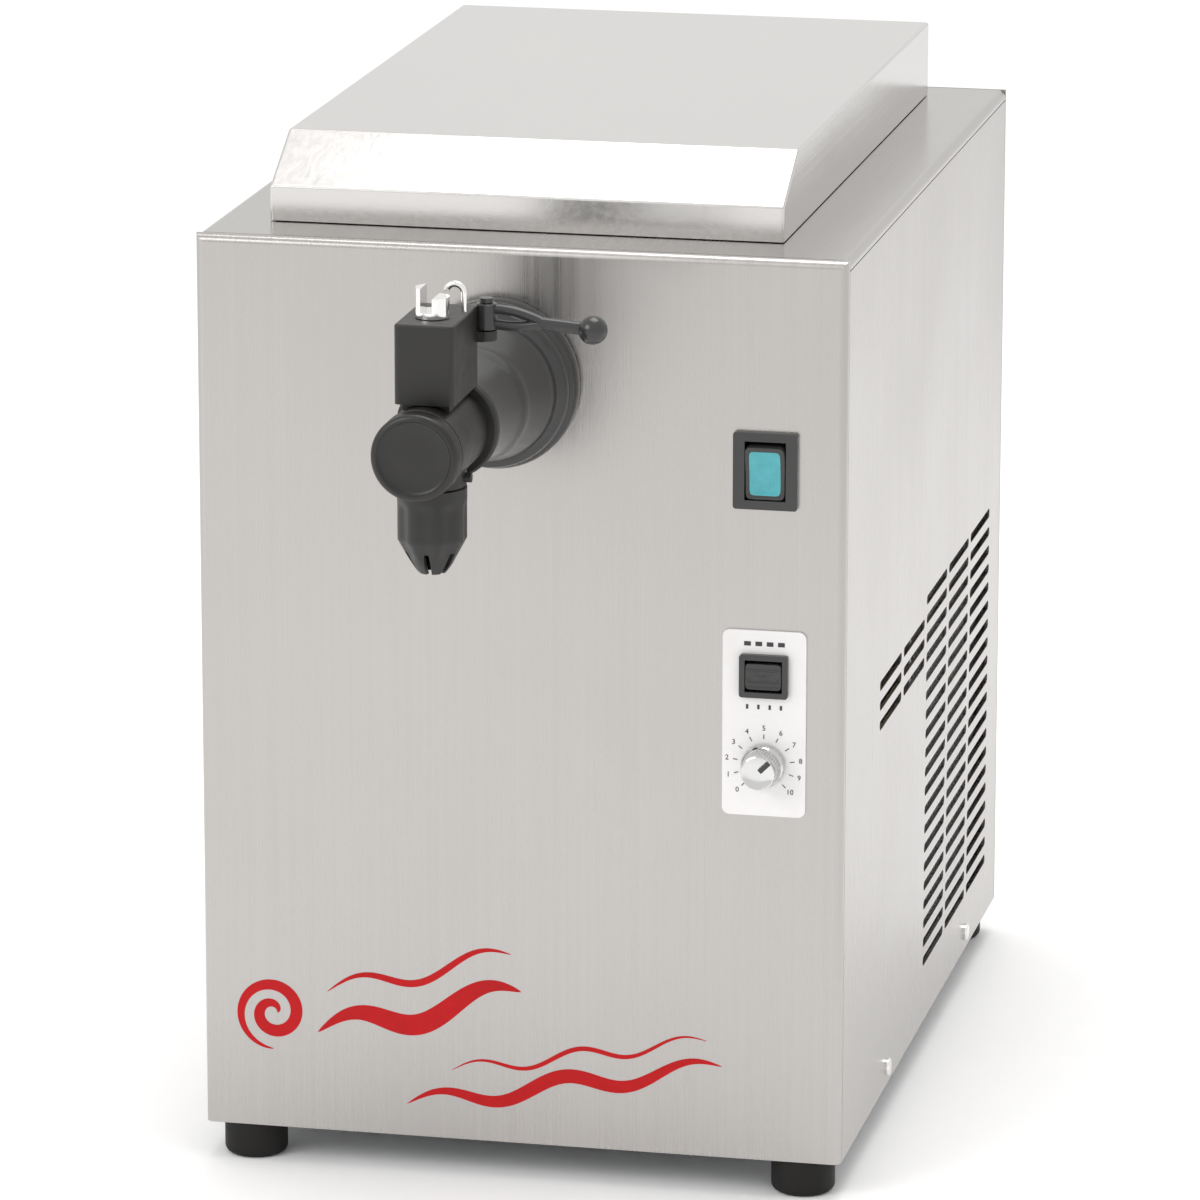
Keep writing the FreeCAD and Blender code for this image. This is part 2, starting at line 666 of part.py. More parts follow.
def pump_cover():
    body = box(PUMP_X0, PUMP_X1, PUMP_Y0, PUMP_Y1, COVER_Z0, COVER_Z1)
    body = round_edges(body, PUMP_PIN_INSET, V(0, 0, 1))
    cuts = [upright(TAP_X, OUTLET_Y, COVER_Z0 - 1, COVER_Z1 + 1, PORT_R),
            upright(TAP_X, INTAKE_Y, COVER_Z0 - 1, COVER_Z1 + 1, PORT_R)]
    cuts += [upright(x, y, COVER_Z0 - 1, COVER_Z1 + 1, PUMP_PIN_R + RUNNING) for x, y in pump_corners()]
    return body.cut(group(cuts))


def pump_studs():
    """Four studs with knurled nuts that clamp the cover on by hand."""
    pieces = []
    for x, y in pump_corners():
        stud = upright(x, y, PUMP_Z0 + 6, COVER_Z1 + 3, PUMP_PIN_R)
        nut = upright(x, y, COVER_Z1, COVER_Z1 + 6, PUMP_PIN_INSET - 0.5)
        pieces.append(join([stud, nut]))
    return group(pieces)


MOTOR_TOP = FOAM_BOTTOM - 6.0
BRACKET_T = 3.0


def drive_shaft():
    """The motor's output shaft, up through the seal to the drive gear."""
    return upright(DRIVE_X, PUMP_Y, MOTOR_TOP - 12, GEAR_Z0 + GEAR_H, SHAFT_R)


def shaft_seal():
    ring = upright(DRIVE_X, PUMP_Y, WELL_FLOOR - SHEET - 8, WELL_FLOOR, SEAL_R)
    return ring.cut(upright(DRIVE_X, PUMP_Y, 0, Z_TOP, SHAFT_R + RUNNING))


def motor_bracket():
    """A flat plate under the well that carries the geared motor."""
    y0, y1 = PUMP_Y - MOTOR_R - 8, PUMP_Y + MOTOR_R + 8
    plate = box(DRIVE_X - MOTOR_R - 8, DRIVE_X + MOTOR_R + 8, y0, y1, MOTOR_TOP, MOTOR_TOP + BRACKET_T)
    posts = [upright(x, y, MOTOR_TOP + BRACKET_T, FOAM_BOTTOM, 4) for x, y in motor_corners()]
    hole = upright(DRIVE_X, PUMP_Y, 0, Z_TOP, SHAFT_R + 4)
    return join([plate] + posts).cut(hole)


def motor_corners():
    d = MOTOR_R + 3
    return [(DRIVE_X + sx * d, PUMP_Y + sy * d) for sx in (-1, 1) for sy in (-1, 1)]


def drive_motor():
    """The geared motor: gearbox flange, can and rear cap."""
    can_r = MOTOR_R - 2
    gearbox = MOTOR_H - GEARBOX_H
    profile = [(0, 0), (0, can_r - 4), (8, can_r), (gearbox, can_r), (gearbox, MOTOR_R), (MOTOR_H, MOTOR_R),
               (MOTOR_H, 0)]
    body = lathe(profile, V(DRIVE_X, PUMP_Y, MOTOR_TOP - MOTOR_H), V(0, 0, 1))
    return body.cut(upright(DRIVE_X, PUMP_Y, MOTOR_TOP - 14, MOTOR_TOP + 1, SHAFT_R + RUNNING))


# ---- cream path ----
ELBOW_Z = TAP_Z
ELBOW_BEND = 16.0
MIXER_TOP = ELBOW_Z - ELBOW_BEND - 4


def whipping_tube():
    """The upright tube over the pump outlet, where the cream is whipped."""
    outer = upright(TAP_X, OUTLET_Y, COVER_Z1, MIXER_TOP, MIXER_R)
    return outer.cut(upright(TAP_X, OUTLET_Y, COVER_Z1 - 1, MIXER_TOP + 1, MIXER_BORE_R))


def mixing_insert():
    """A core with a stack of offset half discs that fold air into the cream."""
    z0 = COVER_Z1 + 3
    z1 = MIXER_TOP - 3
    r = MIXER_BORE_R - 0.4
    core = upright(TAP_X, OUTLET_Y, z0, z1, 2.0)
    pieces = [core]
    count = int((z1 - z0 - 4) / 7)
    for i in range(count):
        z = z0 + 2 + i * 7
        disc = upright(TAP_X, OUTLET_Y, z, z + 2, r)
        side = 1 if i % 2 else -1
        gate = box(TAP_X - r - 1, TAP_X + r + 1, OUTLET_Y + side * (r + 1) / 2 - (r + 1) / 2 + side * 2.6,
                   OUTLET_Y + side * (r + 1) / 2 + (r + 1) / 2 + side * 2.6, z - 1, z + 3)
        pieces.append(disc.cut(gate))
    return join(pieces)


def delivery_elbow():
    """The pipe from the whipping tube, forward through the well wall to the tap."""
    end_y = Y_FRONT + SHEET + 6
    points = [V(TAP_X, OUTLET_Y, MIXER_TOP), V(TAP_X, OUTLET_Y, ELBOW_Z), V(TAP_X, end_y, ELBOW_Z)]
    return tube(points, ELBOW_BEND, MIXER_R, MIXER_BORE_R)


SUCTION_Z = COLLAR_TOP + 4.0
SUCTION_Y = TANK_Y0 + 30.0
SUCTION_BEND = 12.0


def suction_points():
    return [V(TAP_X, INTAKE_Y, COVER_Z1), V(TAP_X, INTAKE_Y, SUCTION_Z), V(TAP_X, SUCTION_Y, SUCTION_Z),
            V(TAP_X, SUCTION_Y, TANK_Z0 + 8)]


def suction_tube():
    """The tube from the tank floor, over the rim and down to the pump intake."""
    return tube(suction_points(), SUCTION_BEND, TUBE_R, TUBE_BORE_R)


def air_valve():
    """A small block on the suction tube with the air needle's seat on top."""
    y = (INTAKE_Y + SUCTION_Y) / 2
    body = box(TAP_X - 8, TAP_X + 8, y - 6, y + 6, SUCTION_Z - 7, SUCTION_Z + 8)
    bore = along_y(TAP_X, SUCTION_Z, y - 7, y + 7, TUBE_R)
    return body.cut(bore).cut(upright(TAP_X, y, SUCTION_Z + 3, SUCTION_Z + 9, 1.5 + RUNNING))


def air_valve_knob():
    y = (INTAKE_Y + SUCTION_Y) / 2
    stem = upright(TAP_X, y, SUCTION_Z + 5.3, SUCTION_Z + 8.3, 1.5)
    knob = upright(TAP_X, y, SUCTION_Z + 8.3, SUCTION_Z + 13, 5.5)
    return join([stem, knob])


# ---- cooling circuit ----
CONDENSER_X1 = X_RIGHT - SHEET - 5.0
CONDENSER_X0 = CONDENSER_X1 - CONDENSER_T
VENT_Y0 = Y_FRONT + SLOT_FIRST_Y + SLOT_SHORT_COLUMNS * SLOT_PITCH_Y
VENT_Y1 = VENT_Y0 + (SLOT_COLUMNS - SLOT_SHORT_COLUMNS) * SLOT_PITCH_Y
CONDENSER_Z0 = Z_TRAY + 8.0
CONDENSER_Z1 = FOAM_BOTTOM - 4.0
FAN_Y = (VENT_Y0 + VENT_Y1) / 2
FAN_Z = (CONDENSER_Z0 + CONDENSER_Z1) / 2
SHROUD_T = 24.0
FAN_X = CONDENSER_X0 - SHROUD_T / 2 - 1
COMPRESSOR_X = X_LEFT + 68.0
COMPRESSOR_Y = Y_BACK - 82.0
GROMMET_H = 8.0
DRIER_X = 34.0
DRIER_Y = Y_BACK - 30.0
DRIER_Z = Z_TRAY + 34.0


def condenser():
    """Upright aluminium fins threaded on level tubes, with feet on the tray."""
    pitch = (VENT_Y1 - VENT_Y0 - FIN_T) / (CONDENSER_FINS - 1)
    fins = [box(CONDENSER_X0, CONDENSER_X1, VENT_Y0 + i * pitch, VENT_Y0 + i * pitch + FIN_T,
                CONDENSER_Z0, CONDENSER_Z1) for i in range(CONDENSER_FINS)]
    xm = (CONDENSER_X0 + CONDENSER_X1) / 2
    count = 6
    gap = (CONDENSER_Z1 - CONDENSER_Z0) / count
    tubes = [along_y(xm, CONDENSER_Z0 + (i + 0.5) * gap, VENT_Y0 - 6, VENT_Y1 + 6, 4.0) for i in range(count)]
    feet = [box(CONDENSER_X0, CONDENSER_X1, y, y + 3, Z_TRAY, CONDENSER_Z1) for y in (VENT_Y0 - 3, VENT_Y1)]
    return join(feet + fins + tubes)


def fan_shroud():
    x0 = CONDENSER_X0 - SHROUD_T
    body = box(x0, CONDENSER_X0 - FIT, FAN_Y - FAN_R - 8, FAN_Y + FAN_R + 8, Z_TRAY, FAN_Z + FAN_R + 6)
    bore = along_x(FAN_Y, FAN_Z, x0 - 1, CONDENSER_X0 + 1, FAN_R + 2)
    ribs = [box(x0 - 4, x0, FAN_Y - FAN_R - 8, FAN_Y + FAN_R + 8, z - 3, z + 3)
            for z in (FAN_Z - 8, FAN_Z + 8)]
    return join([body.cut(bore)] + ribs)


def fan_motor():
    x1 = CONDENSER_X0 - SHROUD_T - 4
    body = along_x(FAN_Y, FAN_Z, x1 - 32, x1, 20)
    return body.cut(along_x(FAN_Y, FAN_Z, x1 - 12, x1 + 1, 2.5 + RUNNING))


def fan_blades():
    """Hub, shaft and pitched blades."""
    x1 = CONDENSER_X0 - SHROUD_T - 4
    hub = along_x(FAN_Y, FAN_Z, FAN_X - 8, FAN_X + 8, 14)
    shaft = along_x(FAN_Y, FAN_Z, x1 - 10, FAN_X, 2.5)
    pieces = [hub, shaft]
    for i in range(FAN_BLADES):
        blade = box(-0.8, 0.8, -17, 17, 10, FAN_R)
        blade.rotate(V(0, 0, 0), V(0, 0, 1), 62)
        blade = blade.common(Part.makeBox(14, 60, 80, V(-7, -30, 0)))
        blade.rotate(V(0, 0, 0), V(1, 0, 0), i * 360.0 / FAN_BLADES)
        blade.translate(V(FAN_X, FAN_Y, FAN_Z))
        pieces.append(blade)
    return join(pieces)


def compressor():
    """The sealed compressor can: a domed shell on a mounting plate."""
    r = COMPRESSOR_R
    shell = lathe([(0, 0), (0, r - 14), (8, r - 3), (20, r), (COMPRESSOR_H - 30, r),
                   (COMPRESSOR_H - 12, r - 8), (COMPRESSOR_H - 3, r - 24), (COMPRESSOR_H, 0)],
                  V(COMPRESSOR_X, COMPRESSOR_Y, Z_TRAY + GROMMET_H + 3), V(0, 0, 1))
    plate = box(COMPRESSOR_X - r, COMPRESSOR_X + r, COMPRESSOR_Y - r, COMPRESSOR_Y + r,
                Z_TRAY + GROMMET_H, Z_TRAY + GROMMET_H + 3)
    return join([shell, plate])


def compressor_grommets():
    d = COMPRESSOR_R - 8
    return group([upright(COMPRESSOR_X + sx * d, COMPRESSOR_Y + sy * d, Z_TRAY, Z_TRAY + GROMMET_H, 7)
                  for sx in (-1, 1) for sy in (-1, 1)])


def filter_drier():
    return lathe([(0, 0), (0, LINE_R), (8, DRIER_R), (DRIER_H - 8, DRIER_R), (DRIER_H, LINE_R), (DRIER_H, 0)],
                 V(DRIER_X, DRIER_Y, DRIER_Z), V(0, 0, 1))


def refrigerant_lines():
    return group([discharge_line(), liquid_line()])


def discharge_line():
    """From the compressor's shoulder to the condenser's lowest tube."""
    z = Z_TRAY + 20
    xm = (CONDENSER_X0 + CONDENSER_X1) / 2
    points = [V(COMPRESSOR_X + COMPRESSOR_R, COMPRESSOR_Y, z + 12),
              V(COMPRESSOR_X + COMPRESSOR_R + 28, COMPRESSOR_Y, z + 12),
              V(COMPRESSOR_X + COMPRESSOR_R + 28, VENT_Y1 + 18, z + 12), V(xm, VENT_Y1 + 18, z + 12),
              V(xm, VENT_Y1 + 18, z + 40)]
    return pipe(points, 8.0, LINE_R)


def liquid_line():
    """From the drier up through the foam floor to the well's coil."""
    top = DRIER_Z + DRIER_H
    points = [V(DRIER_X, DRIER_Y, top), V(DRIER_X, DRIER_Y, top + 20), V(LINE_X, COIL_Y1, top + 20),
              V(LINE_X, COIL_Y1, COIL_Z0 - COIL_R)]
    return pipe(points, 6.0, LINE_R)


# ---- electrics ----
def control_board():
    x = X_LEFT + SHEET + 8
    board = box(x, x + BOARD_T, Y_FRONT + 40, Y_FRONT + 140, Z_BASE + 60, Z_BASE + 140)
    parts = [
        box(x + BOARD_T, x + BOARD_T + 16, Y_FRONT + 50, Y_FRONT + 70, Z_BASE + 70, Z_BASE + 100),
        box(x + BOARD_T, x + BOARD_T + 10, Y_FRONT + 84, Y_FRONT + 104, Z_BASE + 72, Z_BASE + 88),
        along_x(Y_FRONT + 120, Z_BASE + 86, x + BOARD_T, x + BOARD_T + 22, 8),
        along_x(Y_FRONT + 120, Z_BASE + 118, x + BOARD_T, x + BOARD_T + 14, 6),
    ]
    pillars = [along_x(y, z, X_LEFT + SHEET, x, 3) for y in (Y_FRONT + 46, Y_FRONT + 134)
               for z in (Z_BASE + 66, Z_BASE + 134)]
    return join([board] + parts + pillars)


def transformer():
    x = SWITCH_X - 30
    core = box(x, x + 44, Y_FRONT + 30, Y_FRONT + 78, Z_TRAY, Z_TRAY + 38)
    coil = round_edges(box(x + 8, x + 36, Y_FRONT + 20, Y_FRONT + 88, Z_TRAY + 8, Z_TRAY + 30), 4, V(0, 0, 1))
    return join([core, coil])


def inlet_pins(y0, y1):
    return [box(INLET_X + dx - 1, INLET_X + dx + 1, y0, y1, INLET_Z + dz - 2, INLET_Z + dz + 2)
            for dx, dz in ((-7, -1), (0, 3), (7, -1))]


def mains_inlet():
    """The chassis socket: flange, cup and three flat pins."""
    w, h = INLET_W / 2, INLET_H / 2
    flange = box(INLET_X - w - 11, INLET_X + w + 11, Y_BACK, Y_BACK + INLET_PROUD,
                 INLET_Z - h - 2, INLET_Z + h + 2)
    cup = box(INLET_X - w, INLET_X + w, Y_BACK - INLET_DEPTH, Y_BACK + 1, INLET_Z - h, INLET_Z + h)
    inner_y = Y_BACK - INLET_DEPTH + 4
    hollow = box(INLET_X - w + 2, INLET_X + w - 2, inner_y, Y_BACK + INLET_PROUD + 1,
                 INLET_Z - h + 3, INLET_Z + h - 3)
    return join([join([flange, cup]).cut(hollow)] + inlet_pins(inner_y, Y_BACK - 2))


PARTS_INSIDE = [
    drive_gear, idler_gear, pump_housing, pump_cover, pump_studs, drive_shaft, shaft_seal,
    motor_bracket, drive_motor, whipping_tube, mixing_insert, delivery_elbow, suction_tube, air_valve,
    air_valve_knob, condenser, fan_shroud, fan_motor, fan_blades, compressor, compressor_grommets,
    filter_drier, refrigerant_lines, control_board, transformer, mains_inlet,
]


# ---- controls on the front panel ----
def bezel(z, width, height, border, cavity_h):
    """A snap-in switch body: a rounded bezel over the sheet and a hollow box behind it."""
    zc = Z_BASE + z
    y0 = front_of_plate(z) - BEZEL_T
    y1 = front_of_plate(z)
    w, h = width / 2, height / 2
    rim = round_edges(box(SWITCH_X - w, SWITCH_X + w, y0, y1, zc - h, zc + h), 1.2, V(0, 1, 0))
    wb, hb = w - 1.5, h - 1.5
    body = box(SWITCH_X - wb, SWITCH_X + wb, y1, Y_FRONT + SWITCH_DEPTH, zc - hb, zc + hb)
    wc, hc = w - border, h - cavity_h
    cavity = box(SWITCH_X - wc, SWITCH_X + wc, y0 - 1, Y_FRONT + ROCKER_ROOM, zc - hc, zc + hc)
    return join([rim, body]).cut(cavity)


ROCKER_ROOM = 9.0
ROCKER_PIVOT = 4.0


def front_of_plate(z):
    """The face a bezel sits on: the control plate where it covers the sheet, else the sheet."""
    on_plate = abs(z - PLATE_Z) < PLATE_H / 2
    return Y_FRONT - PLATE_T if on_plate else Y_FRONT


def rocker(z, width, height, border, cavity_h, proud, tilt):
    """A rocker: dished front, sides turned about its pivot so that it clears the bezel as it tilts."""
    zc = Z_BASE + z
    hz = height / 2 - cavity_h
    y_pivot = Y_FRONT + ROCKER_PIVOT
    y_tip = front_of_plate(z) - BEZEL_T - proud
    reach = y_pivot - y_tip
    half = hz - FIT - reach * math.sin(math.radians(ROCKER_TILT))
    corners = [(y_tip, -half), (y_tip + proud, 0), (y_tip, half),
               (y_pivot + 2, half - 2), (y_pivot + 2, 2 - half)]
    w = width / 2 - border - FIT
    points = [V(SWITCH_X - w, y, zc + dz) for y, dz in corners]
    face = Part.Face(Part.makePolygon(points + [points[0]]))
    body = face.extrude(V(2 * w, 0, 0))
    body.rotate(V(SWITCH_X, y_pivot, zc), V(1, 0, 0), tilt)
    return body


def main_switch_bezel():
    return bezel(MAIN_SWITCH_Z, MAIN_BEZEL_W, MAIN_BEZEL_H, BEZEL_BORDER, BEZEL_BORDER - 1)


def main_rocker():
    return rocker(MAIN_SWITCH_Z, MAIN_BEZEL_W, MAIN_BEZEL_H, BEZEL_BORDER, BEZEL_BORDER - 1, 1.2, ROCKER_TILT)


def mode_switch_bezel():
    return bezel(MODE_SWITCH_Z, MODE_BEZEL_W, MODE_BEZEL_H, MODE_BEZEL_BORDER, MODE_BEZEL_BORDER)


def mode_rocker():
    return rocker(MODE_SWITCH_Z, MODE_BEZEL_W, MODE_BEZEL_H, MODE_BEZEL_BORDER, MODE_BEZEL_BORDER, 0.8, 0)


def control_plate():
    """The white scale plate, open behind the second switch and the dial shaft."""
    zc = Z_BASE + PLATE_Z
    plate = box(SWITCH_X - PLATE_W / 2, SWITCH_X + PLATE_W / 2, Y_FRONT - PLATE_T, Y_FRONT,
                zc - PLATE_H / 2, zc + PLATE_H / 2)
    plate = round_edges(plate, PLATE_R, V(0, 1, 0))
    window = switch_window(MODE_SWITCH_Z, MODE_BEZEL_W, MODE_BEZEL_H, 1.5)
    hole = along_y(SWITCH_X, Z_BASE + DIAL_Z, Y_FRONT - 5, Y_FRONT + 5, POT_SHAFT_R + 1.5)
    return plate.cut(group([window, hole]))


KNOB_Y1 = Y_FRONT - PLATE_T - 0.5
KNOB_Y0 = KNOB_Y1 - KNOB_H
POT_T = 10.0


def dial_knob():
    """The turned knob: skirt, waisted grip and dished face."""
    profile = [(0, 0), (0.6, KNOB_R * 0.62), (0, KNOB_R * 0.78), (KNOB_H * 0.72, KNOB_R * 0.84),
               (KNOB_H * 0.78, KNOB_R), (KNOB_H, KNOB_R), (KNOB_H, 0)]
    body = lathe(profile, V(SWITCH_X, KNOB_Y0, Z_BASE + DIAL_Z), V(0, 1, 0))
    return body.cut(dial_pointer()).cut(dial_shaft())


def dial_pointer():
    """The pointer set in the knob's face, turned to its mark."""
    zc = Z_BASE + DIAL_Z
    bar = box(SWITCH_X - 1, SWITCH_X + 1, KNOB_Y0 - 0.4, KNOB_Y0 + 3, zc + 1, zc + KNOB_R * 0.74)
    bar.rotate(V(SWITCH_X, KNOB_Y0, zc), V(0, 1, 0), POINTER_DEG)
    return bar


def dial_shaft():
    return along_y(SWITCH_X, Z_BASE + DIAL_Z, KNOB_Y1 - 8, Y_FRONT + SHEET + POT_T - 2, POT_SHAFT_R)


def dial_regulator():
    """The rotary control behind the panel that the shaft turns in."""
    y0 = Y_FRONT + SHEET
    body = along_y(SWITCH_X, Z_BASE + DIAL_Z, y0, y0 + POT_T, 8.5)
    bore = along_y(SWITCH_X, Z_BASE + DIAL_Z, y0 - 1, y0 + POT_T - 1.5, POT_SHAFT_R + RUNNING)
    return body.cut(bore)


# ---- tap ----
def tap_collar():
    """The bell over the pipe: a stepped base ring, a ridge and a curved neck."""
    reach = Y_FRONT - BODY_Y1
    base = V(TAP_X, Y_FRONT, TAP_Z)
    r = COLLAR_R
    profile = [(0, SPIGOT_R + FIT), (0, r - 1), (1, r), (8, r), (9, r - 2), (16, r - 2.4),
               (17, r - 5), (22, r - 5)]
    slim = TAP_FLANGE_R - 1.5
    flare = r - 5.5 - slim
    neck = [(22 + (reach - 26) * t / 6.0, slim + flare * (1 - t / 6.0) ** 1.5) for t in range(7)]
    profile += neck + [(reach - TAP_FLANGE_T, SPIGOT_R + FIT)]
    return lathe(profile, base, V(0, -1, 0))


def tap_body():
    """The pipe, flange disc and valve barrel, bored for the cream, with the outlet neck below."""
    back = Y_FRONT + SHEET + 6
    barrel = along_y(TAP_X, TAP_Z, BODY_Y0 + FIT, BODY_Y1, TAP_R)
    flange = along_y(TAP_X, TAP_Z, BODY_Y1, BODY_Y1 + TAP_FLANGE_T, TAP_FLANGE_R)
    flange = flange.makeFillet(1.2, [e for e in flange.Edges if abs(e.CenterOfMass.y - BODY_Y1) < 0.01])
    spigot = along_y(TAP_X, TAP_Z, BODY_Y1, back, SPIGOT_R)
    apron = upright(TAP_X, NOZZLE_Y, NOZZLE_TOP + FIT, TAP_Z, NOZZLE_R - 0.2)
    neck = upright(TAP_X, NOZZLE_Y, NOZZLE_TOP - 8, TAP_Z, NOZZLE_BORE_R - 0.3)
    pin = along_x(NOZZLE_Y, NOZZLE_TOP + 3.5, TAP_X, TAP_X + NOZZLE_R + 2, 1.8)
    bore = along_y(TAP_X, TAP_Z, BODY_Y0 + 3, back + 1, MIXER_BORE_R)
    seat = along_y(TAP_X, TAP_Z, back - 6, back + 1, MIXER_R)
    outlet = upright(TAP_X, NOZZLE_Y, NOZZLE_TOP - 9, TAP_Z, 6.0)
    stem = upright(TAP_X, SPINDLE_Y, TAP_Z, BLOCK_Z0 + 5, SPINDLE_STEM_R + RUNNING)
    body = join([barrel, flange, spigot, apron, neck, pin])
    return body.cut(bore).cut(seat).cut(outlet).cut(stem).cut(cap_bore())


def cap_bore():
    return along_y(TAP_X, TAP_Z, BODY_Y0 - 1, BODY_Y0 + CAP_SPIGOT_L + 0.5, CAP_SPIGOT_R + RUNNING)


SPINDLE_Y = NOZZLE_Y + 2.0


def tap_cap():
    """The round front cap with a grooved face and a short spigot it turns on."""
    rim = CAP_R - CAP_FACE_R
    tail = CAP_T + CAP_SPIGOT_L
    profile = [(0, 0), (0, CAP_FACE_R - 1), (CAP_GROOVE, CAP_FACE_R), (0, CAP_FACE_R + 0.6),
               (0, CAP_R - rim / 3), (1.2, CAP_R), (CAP_T, CAP_R), (CAP_T, CAP_SPIGOT_R),
               (tail, CAP_SPIGOT_R), (tail, 0)]
    return lathe(profile, V(TAP_X, CAP_Y, TAP_Z), V(0, 1, 0))


def tap_block():
    """The square housing on the tap: rounded block, saddle foot, spindle bore and lever lug."""
    block = box(BLOCK_X0, BLOCK_X1, BLOCK_Y0, BLOCK_Y1, BLOCK_Z0, BLOCK_Z1)
    block = round_edges(block, 2.0, V(0, 0, 1))
    tops = [e for e in block.Edges if abs(e.CenterOfMass.z - BLOCK_Z1) < 0.01]
    block = block.makeFillet(1.0, tops)
    foot = box(BLOCK_X0 + 2.5, BLOCK_X1 - 2.5, BLOCK_Y0 + 4, BLOCK_Y1 - 4, TAP_Z + TAP_R - 6, BLOCK_Z0 + 1)
    lug = upright(LEVER_X, LEVER_Y, LEVER_Z0 - 4, LEVER_Z0 - 0.3, LEVER_HUB_R)
    web = box(BLOCK_X1 - 3, LEVER_X, BLOCK_Y1 - 3, BLOCK_Y1 - 0.5, LEVER_Z0 - 4, LEVER_Z0 - 0.3)
    body = join([block, foot, lug, web])
    saddle = along_y(TAP_X, TAP_Z, BLOCK_Y0 - 1, BLOCK_Y1 + 1, TAP_R)
    bore = upright(TAP_X, SPINDLE_Y, TAP_Z, BLOCK_Z1 + 1, SPINDLE_STEM_R + RUNNING)
    pin_hole = upright(LEVER_X, LEVER_Y, LEVER_Z0 - 5, LEVER_Z0, PIN_R)
    pocket = box(TAP_X - 4, TAP_X + 4, BLOCK_Y1 - 12, BLOCK_Y1 + 1, BLOCK_Z0 + 6, BLOCK_Z0 + 20)
    sweep = upright(LEVER_X, LEVER_Y, LEVER_Z0 - 0.3, BLOCK_Z1 + 2, LEVER_HUB_R + 0.8)
    flange = along_y(TAP_X, TAP_Z, BODY_Y1 - 0.05, BODY_Y1 + TAP_FLANGE_T + 2, TAP_FLANGE_R + 0.05)
    body = body.cut(saddle).cut(flange).cut(group([bore, pocket]))
    return body.cut(pin_hole).cut(sweep).cut(clip_leg())


LEVER_X = BLOCK_X1 + 2.6
LEVER_Y = BLOCK_Y1 + 2.0
LEVER_Z0 = BLOCK_Z1 - 9.5
LEVER_Z1 = LEVER_Z0 + LEVER_HUB_H


def micro_switch():
    """The switch in the block's rear pocket that the lever trips."""
    return box(TAP_X - 3.7, TAP_X + 3.7, BLOCK_Y1 - 11.7, BLOCK_Y1 - 1, BLOCK_Z0 + 6.3, BLOCK_Z0 + 19.7)


def regulator_spindle():
    """The steel flow spindle: a head with an off-centre screwdriver slot, one side left taller."""
    head = upright(TAP_X, SPINDLE_Y, BLOCK_Z1 + 0.3, BLOCK_Z1 + 11.5, SPINDLE_R)
    step = box(TAP_X - 1.2, TAP_X + 10, SPINDLE_Y - 10, SPINDLE_Y + 10, BLOCK_Z1 + 8, BLOCK_Z1 + 20)
    slot = box(TAP_X - 3.4, TAP_X + 1.2, SPINDLE_Y - 10, SPINDLE_Y + 10, BLOCK_Z1 + 2.6, BLOCK_Z1 + 20)
    stem = upright(TAP_X, SPINDLE_Y, TAP_Z + 3, BLOCK_Z1 + 1, SPINDLE_STEM_R)
    return join([head.cut(step).cut(slot), stem])


CLIP_R = 1.2
CLIP_LOOP_R = 3.4
CLIP_X = TAP_X + 5.6
CLIP_Y = SPINDLE_Y + SPINDLE_R + 6.0
CLIP_Z = BLOCK_Z1 + 7.0


def clip_leg():
    return upright(CLIP_X + CLIP_LOOP_R, CLIP_Y, BLOCK_Z1 - 5, CLIP_Z, CLIP_R)


def retaining_clip():
    """A wire clip: a straight leg in the block and an open loop above it."""
    centre = V(CLIP_X, CLIP_Y, CLIP_Z)
    loop = Part.makeTorus(CLIP_LOOP_R, CLIP_R, centre, V(0, -1, 0), 0, 360, 360)
    open_side = box(CLIP_X - 6, CLIP_X + 0.6, CLIP_Y - 3, CLIP_Y + 3, CLIP_Z - 6, CLIP_Z + 1)
    below = box(CLIP_X - 6, CLIP_X + CLIP_LOOP_R - CLIP_R, CLIP_Y - 3, CLIP_Y + 3, CLIP_Z - 6, CLIP_Z)
    return join([loop.cut(open_side).cut(below), clip_leg()])


def lever_pin():
    """The upright pin the lever swings on, with a round head."""
    shank = upright(LEVER_X, LEVER_Y, LEVER_Z0 - 4, LEVER_Z1 + 0.3, PIN_R)
    head = upright(LEVER_X, LEVER_Y, LEVER_Z1 + 0.3, LEVER_Z1 + 2, 2.6)
    return join([shank, head])


def straight_rod(a, b, r):
    """A round bar between two points."""
    run = b.sub(a)
    return Part.makeCylinder(r, run.Length, a, run)


def lever():
    """The loop lever: hub, two arms that close on a rod, and a ball at its end."""
    r = LEVER_ROD_R
    zm = (LEVER_Z0 + LEVER_Z1) / 2
    hub = upright(LEVER_X, LEVER_Y, LEVER_Z0, LEVER_Z1, LEVER_HUB_R)
    meet = V(LEVER_X + LEVER_REACH * LEVER_FORK, LEVER_Y, zm - LEVER_DROP / 2)
    high = V(LEVER_X, LEVER_Y, LEVER_Z1 - r)
    low = V(LEVER_X, LEVER_Y, LEVER_Z0 + r)
    ball_at = V(LEVER_X + LEVER_REACH, LEVER_Y, zm - LEVER_DROP)
    arms = [straight_rod(high, meet, r * 0.8), straight_rod(low, meet, r * 0.8)]
    handle = [Part.makeSphere(r, meet), straight_rod(meet, ball_at, r), Part.makeSphere(LEVER_BALL_R, ball_at)]
    bore = upright(LEVER_X, LEVER_Y, LEVER_Z0 - 1, LEVER_Z1 + 1, PIN_R + RUNNING)
    return join([hub] + arms + handle).cut(bore)


